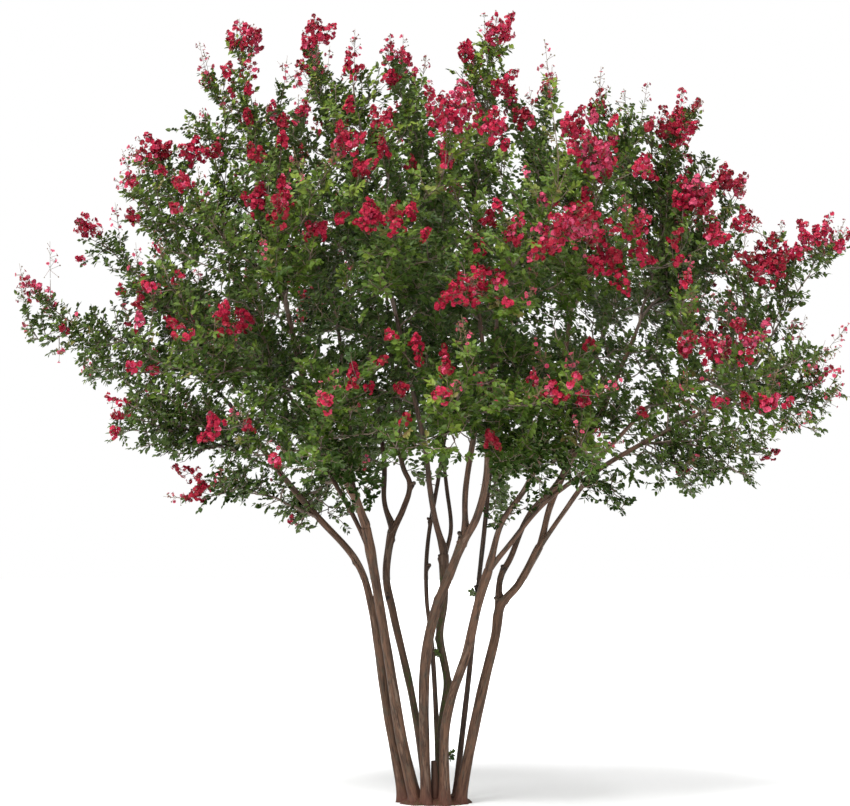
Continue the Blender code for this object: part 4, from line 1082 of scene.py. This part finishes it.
def growBearers(axes, branches):
    # a shoot for each of the large heads of blossom, from the leader or fork that is nearest below it
    look = shootLook
    bases, ways = axes["paths"][:, 5:-1], np.diff(axes["paths"], axis=1)[:, 5:]
    owners = np.repeat(axes["owner"], bases.shape[1])
    bases, ways = bases.reshape(-1, 3), unit(ways.reshape(-1, 3))
    seen = seenFrom(bases)
    ends = branches["paths"][:, -1]
    seenEnds = seenFrom(ends)
    rows = []
    for x, z, size in (*heads, *((x, z, length * 0.5) for x, z, length in seedHeads)):
        away = seenGap(seen, x, z - size * 0.6)
        cost = np.abs(away - look["bearerReach"]) + 0.20 * (bases[:, 1] + 2.5)
        cost += 0.6 * np.maximum(0, seen[:, 2] - z + 0.05)
        cost += 0.5 * np.abs(seen[:, 0] - x)
        k = int(cost.argmin())
        around = ends[seenGap(seenEnds, x, z) < look["aroundHead"], 1]
        front = np.percentile(around, 12) if len(around) else bases[k, 1]
        depth = np.clip(front, bases[k, 1] - 0.38, bases[k, 1] - 0.06)
        below = size * np.interp(z, (4.0, 5.0), (0.62, 0.40))  # the flowers stand this far above the shoot's tip
        tip = eyePoint + (np.array((x + 0.02, 0, z - below)) - eyePoint) * ((depth - eyePoint[1]) / -eyePoint[1])
        rows.append((bases[k], unit(ways[k] + unit(tip - bases[k])), tip, owners[k]))
    start, way, tips, owner = columnsOf(rows)
    tips = withinBox(tips, 0.08)
    reach = np.linalg.norm(tips - start, axis=1)
    return plainShoots(start, way, tips, owner, reach, 0.5)


def clearOfHeads(twigs, bearers):
    # the sprays that would stand before a head of blossom, or in the open sky, are left out
    middle = twigs["paths"].mean(1)
    seen = seenFrom(middle)
    kept = ~inOpenSky(middle)
    for (x, z, size), path in zip(heads, bearers["paths"]):
        before = middle[:, 1] < path[-1, 1] + 0.02
        kept &= ~(before & (seenGap(seen, x, z) < size + 0.015))
    return thinned(twigs, kept)


def growTwigs(axes, branches, rng):
    rows = []
    low, high = shootLook["twigLength"]
    for b, reach in enumerate(branches["reach"]):
        count = max(2, round(reach / shootLook["twigGap"]))
        phase = rng.uniform(0, 2 * math.pi)
        for k in range(count):
            share = 0.16 + 0.84 * (k + 0.5) / count
            size = (1.1 - 0.35 * share) * min(1, 0.3 + reach / 0.17)
            rows.append((0, b, share, phase + k * golden, rng.uniform(low, high) * size))
    for a, path in enumerate(axes["paths"]):
        count = round(marksAlong(path)[-1] * 0.8 / shootLook["axisTwigGap"])
        for k in range(count):
            share = 0.2 + 0.8 * (k + 0.5) / count
            rows.append((1, a, share, k * golden + a, rng.uniform(low, high)))
    kind, row, share, turn, length = columnsOf(rows)
    kind, row = kind.astype(int), row.astype(int)
    start, heading = np.empty((len(kind), 3)), np.empty((len(kind), 3))
    owner = np.empty(len(kind), int)
    for which, shoots in enumerate((branches, axes)):
        here = kind == which
        start[here], heading[here] = seatOn(shoots["paths"], row[here], share[here])
        owner[here] = shoots["owner"][row[here]]
    out = turned(across(heading), heading, turn + rng.uniform(-0.4, 0.4, len(kind)))
    way = unit(out * 0.9 + heading * 0.75 + up * 0.22 + rng.normal(0, 0.15, (len(kind), 3)))
    tips = withinBox(start + unit(way + up * 0.08) * length[:, None], 0.03)
    paths = arcs(start, way, tips, rng.uniform(-0.35, 0.55, len(kind)), 3)
    return {"paths": paths, "owner": owner, "length": length}


def tapered(ends, count, points, power=1.0):
    t = np.linspace(0, 1, points) ** power
    return np.tile(ends[0] * (1 - t) + ends[1] * t, (count, 1))


# small leafy sprigs low on the limbs: limb, height, the side it faces in degrees, length
sprigs = (
    ("back_right_stem", 1.40, 200, 0.045), ("mossy_stem", 0.96, 200, 0.05),
    ("mossy_stem", 1.00, 170, 0.04), ("right_front_stem", 0.31, 20, 0.06),
    ("back_right_stem", 1.88, 350, 0.22), ("back_right_stem", 1.98, 30, 0.20), ("back_right_stem", 2.08, 300, 0.24),
    ("right_front_bough", 1.92, 330, 0.20), ("right_front_bough", 1.86, 240, 0.14), ("thin_stem", 2.16, 180, 0.16),
    ("centre_left_bough", 2.20, 20, 0.14), ("crooked_bough", 2.26, 30, 0.16), ("crooked_bough", 2.30, 200, 0.14),
    ("back_left_bough", 2.24, 180, 0.16), ("back_left_bough", 2.14, 190, 0.12), ("front_bough", 2.24, 20, 0.18),
    ("right_inner_bough", 2.02, 60, 0.14), ("right_low_bough", 2.05, 250, 0.12),
)


def growSprigs(paths):
    rows = []
    for limb, height, facing, length in sprigs:
        path = paths[limb]
        k = int(np.abs(path[:, 2] - height).argmin())
        side = facingWay(facing)
        owner = next((m for m, mass in enumerate(masses) if mass.limb == limb), 0)
        rows.append((path[k], unit(side + up * 0.3), path[k] + unit(side + up * 0.4) * length, owner, length))
    start, way, tips, owner, reach = columnsOf(rows)
    return plainShoots(start, way, tips, owner, reach, 0.3)


def buildShoots(leaders, forks, branches, twigs, stalks, group):
    look = shootLook
    old = mottledMaterial("oldTwigBark", group, *look["old"], 30, 300, 0.002)
    young = mottledMaterial("youngTwigBark", group, *look["young"], 30, 300, 0.001)
    sets = (("leader_shoots", leaders["paths"], look["leaderRadius"], 8, old),
            ("fork_shoots", forks["paths"], look["forkRadius"], 4, old),
            ("side_shoots", branches["paths"], look["branchRadius"], 3, old),
            ("twigs_0", twigs["paths"][::2], look["twigRadius"], 3, young),
            ("twigs_1", twigs["paths"][1::2], look["twigRadius"], 3, young),
            ("blossom_stalks", stalks, blossomLook["stalkRadius"], 3, young))
    for name, paths, radii, sides, material in sets:
        points, quads, ends = tubes(paths, tapered(radii, len(paths), paths.shape[1]), sides)
        mesh = meshOf(name, points, [quads, ends], smooth=True)
        print(name, len(paths), "triangles", trianglesOf(mesh))
        pieceOf(name, mesh, [material])


# Leaves

leafLook = {
    "length": (0.034, 0.052),
    "width": 0.64,  # of the length
    "gap": 0.0211,  # between pairs along a twig
    "most": 190000,  # triangles in a piece
    "greens": (  # two colours each, from painted shade on the inside, through painted light on the outside, to the young tips
        ("shadeLeaf", (0.013, 0.031, 0.002), (0.023, 0.047, 0.004)),
        ("halfShadeLeaf", (0.026, 0.053, 0.003), (0.038, 0.070, 0.006)),
        ("halfLitLeaf", (0.048, 0.084, 0.006), (0.068, 0.109, 0.010)),
        ("sunLeaf", (0.088, 0.130, 0.011), (0.119, 0.161, 0.019)),
        ("youngLeaf", (0.098, 0.118, 0.018), (0.118, 0.088, 0.028)),
    ),
    "under": (0.058, 0.090, 0.020),
    "tintSteps": (0.38, 0.58, 0.80),  # from shade to sun
    "youngShare": 0.08,  # of the outer sprays
    "droop": 0.12,
    "scatter": (0.30, 0.42),  # of a leaf's way and of its face
}

leafCorners = np.array([(0, 0, 0), (1, 0, -0.10), (0.30, -0.50, 0.12), (0.68, -0.40, 0.06),
                        (0.68, 0.40, 0.06), (0.30, 0.50, 0.12)])  # along, across, above
leafHalves = np.array([(0, 2, 3, 1), (0, 1, 4, 5)])


def leafRows(twigs):
    # where each leaf stands: in two rows along its twig, and one at its tip
    rows = []
    counts = np.maximum(3, np.rint(twigs["length"] / leafLook["gap"])).astype(int)
    for pairs in np.unique(counts):
        chosen = np.flatnonzero(counts == pairs)
        step = (np.arange(pairs) + 0.5) / pairs * 0.9 + 0.08
        for side in (-1, 1):
            share = np.clip(step + side * 0.25 / pairs, 0, 1)
            rows.append(np.stack([np.repeat(chosen, pairs), np.tile(share, len(chosen)),
                                  np.full(len(chosen) * pairs, side)], 1))
        rows.append(np.stack([chosen, np.ones(len(chosen)), np.zeros(len(chosen))], 1))
    rows = np.concatenate(rows)
    return rows[:, 0].astype(int), rows[:, 1], rows[:, 2]


def growLeaves(twigs, rng):
    twig, share, side = leafRows(twigs)
    count = len(twig)
    root, along = seatOn(twigs["paths"], twig, share)
    outward = unit(root * (1, 1, 0))
    face = unit(outward * 0.7 + up * rng.uniform(0.5, 1.3, (len(twigs["owner"]), 1))[twig])
    wayLoose, faceLoose = leafLook["scatter"]
    aside = unit(np.cross(along, face)) * side[:, None] * 0.9
    way = unit(along * 0.55 + aside + rng.normal(0, wayLoose, (count, 3)) - up * leafLook["droop"])
    way = np.where(side[:, None] == 0, unit(along + rng.normal(0, 0.15, (count, 3))), way)
    face = unit(face + rng.normal(0, faceLoose, (count, 3)))
    face = unit(face - way * (face * way).sum(1, keepdims=True))
    low, high = leafLook["length"]
    length = rng.uniform(low, high, count) * (1.05 - 0.35 * np.abs(share - 0.45))
    width = length * leafLook["width"] * rng.uniform(0.85, 1.12, count)
    over = np.cross(face, way)
    frameOf = np.stack([way * length[:, None], over * width[:, None], face * width[:, None]], 1)
    points = root[:, None] + np.einsum("ck,nkd->ncd", leafCorners, frameOf)
    return points, twig


def tintOf(twigs, rng):
    # the green of each spray: painted shade inside and low down, painted light above and outside, and young at the tips
    tip = twigs["paths"][:, -1]
    outer = outwardShare(tip)
    sun = 0.62 * outer + 0.30 * np.clip((tip[:, 2] - 2) / 3.2, 0, 1) + rng.normal(0, 0.12, len(outer))
    # painted shade: sprays low in the crown take darker greens
    sun -= 0.45 * np.clip((2.35 - tip[:, 2]) / 0.5, 0, 1)
    tint = np.digitize(sun, leafLook["tintSteps"])
    young = (outer > 0.8) & (tip[:, 2] > 2.3) & (rng.random(len(sun)) < leafLook["youngShare"])
    return np.where(young, 4, tint)


def buildLeaves(twigs, group, rng):
    look = leafLook
    greens = [mottledMaterial(name, group, first, second, 9, 260, 0.0006, look["under"], Specular_IOR_Level=0.18)
              for name, first, second in look["greens"]]
    points, twig = growLeaves(twigs, rng)
    inside = insideBox(points).all(1)
    points, twig = points[inside], twig[inside]
    tint = tintOf(twigs, rng)[twig]
    owner = twigs["owner"][twig]
    order = np.argsort(owner, kind="stable")
    points, tint, owner = points[order], tint[order], owner[order]
    perPiece = look["most"] // 4
    bounds = np.searchsorted(owner, np.arange(len(masses) + 1))
    number, first = 0, 0
    for m in range(len(masses)):
        if m == len(masses) - 1 or bounds[m + 2] - bounds[first] > perPiece:
            chosen = slice(bounds[first], bounds[m + 1])
            count = bounds[m + 1] - bounds[first]
            faces = (leafHalves[None] + (np.arange(count) * len(leafCorners))[:, None, None]).reshape(-1, 4)
            mesh = meshOf(f"leaves_{number}", points[chosen].reshape(-1, 3), [faces], np.repeat(tint[chosen], 2))
            pieceOf(f"leaves_{number}", mesh, greens, [mass.name for mass in masses[first:m + 1]])
            print("leaves", number, "leaves", count)
            number, first = number + 1, m + 1
    return len(points)


# Blossom

blossomLook = {
    "length": (0.13, 0.25),
    "lobes": (8, 13),
    "florets": (4, 7),  # in a lobe
    "lobeRadius": (0.014, 0.026),
    "floretRadius": (0.0115, 0.0170),
    "most": 190000,
    "seed": 5,
    "petals": 6,  # in a flower
    "stalkRadius": (0.0016, 0.0011),
    "budCount": (3, 8),  # loose buds round a panicle's tip
    "budRadius": (0.0036, 0.0062),
    "headCount": 235,  # panicles in a large head, for each square metre of its reach squared
    "headFullness": ((0.05, 0.065, 0.11, 0.16), (0.55, 0.9, 1.35, 1.60)),  # by the head's reach
    "tints": {  # the share of pale flowers in each panicle, and the panicle's own odds for each red; lower panicles take the deep red more often, as painted shade
        "outer": (0.22, (0.66, 0.22, 0.12)), "upper": (0.04, (0.62, 0.38, 0)), "lower": (0.04, (0.30, 0.70, 0)),
    },
    "reds": (
        ("crimsonPetal", (0.255, 0.003, 0.018), (0.335, 0.008, 0.038)),
        ("deepPetal", (0.170, 0.001, 0.009), (0.225, 0.003, 0.018)),
        ("rosePetal", (0.320, 0.022, 0.058), (0.400, 0.050, 0.108)),
    ),
    "bud": ((0.130, 0.035, 0.020), (0.090, 0.085, 0.026)),
    "seedSprays": 270,
    "seedLength": (0.12, 0.26),
    "capsules": (9, 18),
    "lateShare": 0.45,  # of the capsules in a seed spray that are still in flower
    "lateRadius": (0.009, 0.015),
}

# a petal from its narrow foot to its broad end: along, across
petalOutline = np.array([(0.04, 0.0), (0.84, -0.42), (1.06, 0.04), (0.76, 0.44)])
petalFaces = np.array([(0, 1, 2), (0, 2, 3)])
budCorners = np.array([(1, 0, 0), (0, 1, 0), (-1, 0, 0), (0, -1, 0), (0, 0, 1.2), (0, 0, -1.2)])
budFaces = np.array([(0, 1, 4), (1, 2, 4), (2, 3, 4), (3, 0, 4), (1, 0, 5), (2, 1, 5), (3, 2, 5), (0, 3, 5)])


def panicle(root, way, length, fullness, rng):
    # its flowers' centres, facings and radii, its buds, and its stalks
    look = blossomLook
    side = across(way)
    lobes = max(3, round(rng.integers(*look["lobes"]) * fullness))
    phase = rng.uniform(0, 2 * math.pi)
    centres, facings, sizes = [], [], []
    stalks = [(root, root + way * length)]
    for k in range(lobes):
        share = (k + 0.6) / lobes
        out = turned(side, way, phase + k * golden + rng.uniform(-0.5, 0.5))
        width = length * 0.36 * (1 - share) ** 0.65 * rng.uniform(0.45, 1.15)
        foot = root + way * length * 0.85 * share
        middle = root + way * length * (0.10 + 0.92 * share) + out * width
        stalks.append((foot, middle))
        lobe = rng.uniform(*look["lobeRadius"]) * (1.15 - 0.45 * share)
        count = rng.integers(*look["florets"])
        spots = unit(rng.normal(0, 1, (count, 3)) + out * 0.6 + way * 0.3)
        centres.append(middle + spots * lobe * rng.uniform(0.6, 1.0, (count, 1)))
        facings.append(unit(spots + out * 0.4 + rng.normal(0, 0.3, (count, 3))))
        sizes.append(rng.uniform(*look["floretRadius"], count) * (1.1 - 0.30 * share))
    count = rng.integers(*look["budCount"])
    share = rng.uniform(0.5, 1.0, count)
    out = unit(rng.normal(0, 1, (count, 3)) + way * 0.6)
    buds = root + way * (length * share)[:, None]
    tips = buds + out * (length * 0.26 * (1.25 - share) + 0.01)[:, None]
    stalks.extend(zip(buds, tips))
    return np.concatenate(centres), np.concatenate(facings), np.concatenate(sizes), tips, stalks


def seedSpray(root, way, length, rng):
    # an open spray of capsules and buds with a few late flowers
    count = rng.integers(*blossomLook["capsules"])
    share = rng.uniform(0.15, 1.0, count)
    out = unit(rng.normal(0, 1, (count, 3)) + way * 0.5)
    feet = root + way * (length * share * 0.9)[:, None]
    tips = feet + out * (length * 0.26 * (1.2 - share) + 0.012)[:, None]
    late = rng.random(count) < blossomLook["lateShare"]
    return tips, late, out, [(root, root + way * length), *zip(feet, tips)]


def bloomPlaces(leaders, forks, branches, bearers, rng):
    # root, way, length and fullness of each panicle
    low, high = blossomLook["length"]
    places = []
    for head, path in zip(heads, bearers["paths"]):
        size = head[2]
        count = max(1, round(size * size * blossomLook["headCount"]))
        fullness = np.interp(size, *blossomLook["headFullness"])
        way = tipWay(path)
        side = across(way)
        phase = rng.uniform(0, 2 * math.pi)
        for k in range(count):
            lean = unit(way * 0.6 + up * 0.5 + turned(side, way, phase + k * golden) * (0.75 if count > 1 else 0.1))
            places.append((path[-1] - way * 0.02 * k, lean, size * rng.uniform(1.3, 1.7), fullness))
    for a, path in enumerate(leaders["paths"]):
        way = tipWay(path)
        count = round(leaders["bloom"][a] * 3)
        for k in range(count):
            lean = unit(way + up * 0.3 + unit(rng.normal(0, 1, 3)) * (0.55 if k else 0.1))
            places.append((path[-1] - way * 0.04 * k, lean, rng.uniform(low, high), 1.0))
    for shoots, chance in ((forks, 0.60), (branches, 0.13)):
        tips = shoots["paths"][:, -1]
        ways = tipWay(shoots["paths"])
        outer = outwardShare(tips)
        odds = shoots["bloom"] * chance * np.clip(outer * 1.6 - 0.55, 0.05, 1.1)
        odds = odds * np.where(tips[:, 2] > 3.3, 1.0, 0.45)
        behind = np.clip(tips[:, 1] + 0.6, 0, 1)
        seen = seenFrom(tips)  # on the best side they keep close to the heads above
        near = np.zeros(len(tips), bool)
        for x, z, size in heads:
            near |= seenGap(seen, x, z) < size + 0.03
        odds = odds * np.where(near, 1, np.maximum(0.10, behind))
        for k in np.flatnonzero(rng.random(len(tips)) < odds * (0.8 + 0.6 * behind)):
            size = rng.uniform(low, high) * (0.9 if chance > 0.5 else 0.7)
            fullness = rng.uniform(0.6, 1.0) if chance > 0.5 else rng.uniform(0.3, 0.7)
            count = 1 + (chance > 0.5 and behind[k] > 0.5) * rng.integers(0, 3)
            for j in range(count):
                lean = unit(ways[k] + up * 0.4 + unit(rng.normal(0, 1, 3)) * (0.8 if j else 0))
                if not inOpenSky(tips[k] + lean * size * 0.6):
                    places.append((tips[k] - ways[k] * 0.03 * j, lean, size, fullness))
    return places


def growBlossom(leaders, forks, branches, bearers):
    look = blossomLook
    rng = np.random.default_rng(look["seed"])
    centres, facings, sizes, tints, buds, stalks = [], [], [], [], [], []
    places = bloomPlaces(leaders, forks, branches, bearers, rng)
    for root, way, length, fullness in places:
        middles, faces, radii, budTips, lines = panicle(root, way, length, fullness, rng)
        outer = outwardShare(root)
        # painted shade: panicles low in the crown draw the deep red more often
        place = "outer" if outer > 0.85 else "upper" if root[2] > 2.8 else "lower"
        pale, shares = look["tints"][place]
        tints.append(np.where(rng.random(len(middles)) < pale, 2, rng.choice(3, p=shares)))
        centres.append(middles)
        facings.append(faces)
        sizes.append(radii)
        buds.append(budTips)
        stalks.extend(lines)
    tips = branches["paths"][:, -1]
    outer = outwardShare(tips) + 0.25 * branches["tall"]
    chosen = np.argsort(-outer - rng.uniform(0, 0.35, len(outer)))[:look["seedSprays"]]
    chosen = chosen[~inOpenSky(tips[chosen] + up * 0.1)]
    sprays = [(path[-1] + tipWay(path) * 0.01, unit(path[-1] - path[-3] + up * 0.04), length)
              for (_, _, length), path in zip(seedHeads, bearers["paths"][len(heads):])]
    for k in chosen:
        way = unit(branches["paths"][k, -1] - branches["paths"][k, -3] + up * 0.08)
        sprays.append((tips[k], way, rng.uniform(*look["seedLength"])))
    for root, way, length in sprays:
        capsules, late, out, lines = seedSpray(root, way, length, rng)
        centres.append(capsules[late])
        facings.append(out[late])
        sizes.append(rng.uniform(*look["lateRadius"], late.sum()))
        tints.append(np.full(late.sum(), 2))
        buds.append(capsules)
        stalks.extend(lines)
    print("panicles", len(places), "seed sprays", len(chosen), "stalks", len(stalks))
    joined = [np.concatenate(rows) for rows in (centres, facings, sizes, tints, buds)]
    *flowers, buds = joined
    flowers = [rows[insideBox(flowers[0])] for rows in flowers]
    stalks = np.array(stalks)
    return flowers, buds[insideBox(buds)], stalks[insideBox(stalks).all(1)]


def buildBlossom(flowers, buds, group, rng):
    look = blossomLook
    reds = [mottledMaterial(name, group, first, second, 22, 180, 0.002, Specular_IOR_Level=0.2)
            for name, first, second in look["reds"]]
    budSkin = mottledMaterial("budSkin", group, *look["bud"], 60, 300, 0.0005)
    centres, facings, sizes, tints = flowers
    count = len(centres)
    petalCount = look["petals"]
    perFlower = petalCount * len(petalFaces)
    print("flowers", count, "triangles", count * perFlower)
    side = turned(across(facings), facings, rng.uniform(0, 6.28, count))
    petals = np.arange(petalCount) * math.pi * 2 / petalCount
    way = turned(side[:, None], facings[:, None], petals[None] + rng.uniform(-0.15, 0.15, (count, petalCount)))
    over = np.cross(facings[:, None], way)
    reach = sizes[:, None] * rng.uniform(0.85, 1.12, (count, petalCount))
    along, broad = petalOutline[:, 0], petalOutline[:, 1] * 1.25
    rise = np.array((0, 0.16, 0.10, 0.16)) + rng.normal(0, 0.16, (count, petalCount, 4)) * (0, 1, 1, 1)
    points = centres[:, None, None] + reach[..., None, None] * (
        way[:, :, None] * along[:, None] + over[:, :, None] * broad[:, None] + facings[:, None, None] * rise[..., None])
    most = look["most"] // perFlower
    for number, first in enumerate(range(0, count, most)):
        part = slice(first, min(first + most, count))
        size = part.stop - part.start
        faces = (petalFaces[None] + (np.arange(size * petalCount) * len(petalOutline))[:, None, None]).reshape(-1, 3)
        mesh = meshOf(f"blossom_{number}", points[part].reshape(-1, 3), [faces], np.repeat(tints[part], perFlower))
        pieceOf(f"blossom_{number}", mesh, reds)
    radius = rng.uniform(*look["budRadius"], len(buds))
    points = buds[:, None] + budCorners[None] * radius[:, None, None]
    faces = (budFaces[None] + (np.arange(len(buds)) * len(budCorners))[:, None, None]).reshape(-1, 3)
    print("buds", len(buds), "triangles", len(faces))
    pieceOf("buds", meshOf("buds", points.reshape(-1, 3), [faces]), [budSkin])


# Floor, light and camera

stageLook = {
    "floorRadius": 400,
    "floor": (0.86, 0.86, 0.86),
    "world": 1.0,
    "key": 6.5,
    "keySpread": 35,  # degrees across the light's disc, so that shade is soft
    "keyTurn": (28, -18, 0),
    "tilt": 94.719,
    "lens": 86.856,
    "sensor": 36,
}


def buildStage():
    look = stageLook
    bm = bmesh.new()
    bmesh.ops.create_circle(bm, cap_ends=True, segments=96, radius=look["floorRadius"])
    mesh = meshFrom(bm, "floor")
    floor = bpy.data.objects.new("floor", mesh)
    bpy.context.scene.collection.objects.link(floor)
    material, tree, shader = newMaterial("paleFloor", Roughness=0.9)
    place = tree.nodes.new("ShaderNodeTexCoord").outputs["Object"]
    shade = noiseNode(tree, place, 6, 3)
    colour = mixNode(tree, shade, look["floor"], tuple(c * 0.985 for c in look["floor"]))
    tree.links.new(colour, shader.inputs["Base Color"])
    mesh.materials.append(material)
    world = bpy.data.worlds.new("studio")
    world.use_nodes = True
    world.node_tree.nodes["Background"].inputs["Color"].default_value = (1, 1, 1, 1)
    world.node_tree.nodes["Background"].inputs["Strength"].default_value = look["world"]
    bpy.context.scene.world = world
    key = bpy.data.lights.new("key", "SUN")
    key.energy = look["key"]
    key.angle = math.radians(look["keySpread"])
    lamp = bpy.data.objects.new("key", key)
    lamp.rotation_euler = [math.radians(turn) for turn in look["keyTurn"]]
    bpy.context.scene.collection.objects.link(lamp)
    bpy.context.scene.view_settings.view_transform = "Standard"
    camera = bpy.data.cameras.new("camera")
    camera.lens, camera.sensor_width = look["lens"], look["sensor"]
    camera.clip_start, camera.clip_end = 0.1, 1000
    eye = bpy.data.objects.new("camera", camera)
    eye.location = eyePoint
    eye.rotation_euler = (math.radians(look["tilt"]), 0, 0)
    bpy.context.scene.collection.objects.link(eye)
    bpy.context.scene.camera = eye


def main():
    buildStage()
    paths = limbPaths()
    buildBark(paths)
    rng = np.random.default_rng(shootLook["seed"])
    leaders = growLeaders(paths, rng)
    forks = growForks(leaders, paths, rng)
    axes = joinedRows(leaders, forks)
    branches = growBranches(axes, rng)
    bearers = growBearers(axes, branches)
    flowers, buds, stalks = growBlossom(leaders, forks, branches, bearers)
    branches = joinedRows(branches, bearers, growSprigs(paths))
    twigs = clearOfHeads(growTwigs(axes, branches, rng), bearers)
    group = mottleGroup()
    buildShoots(leaders, forks, branches, twigs, stalks, group)
    print("leaves in all", buildLeaves(twigs, group, rng))
    buildBlossom(flowers, buds, group, rng)


main()
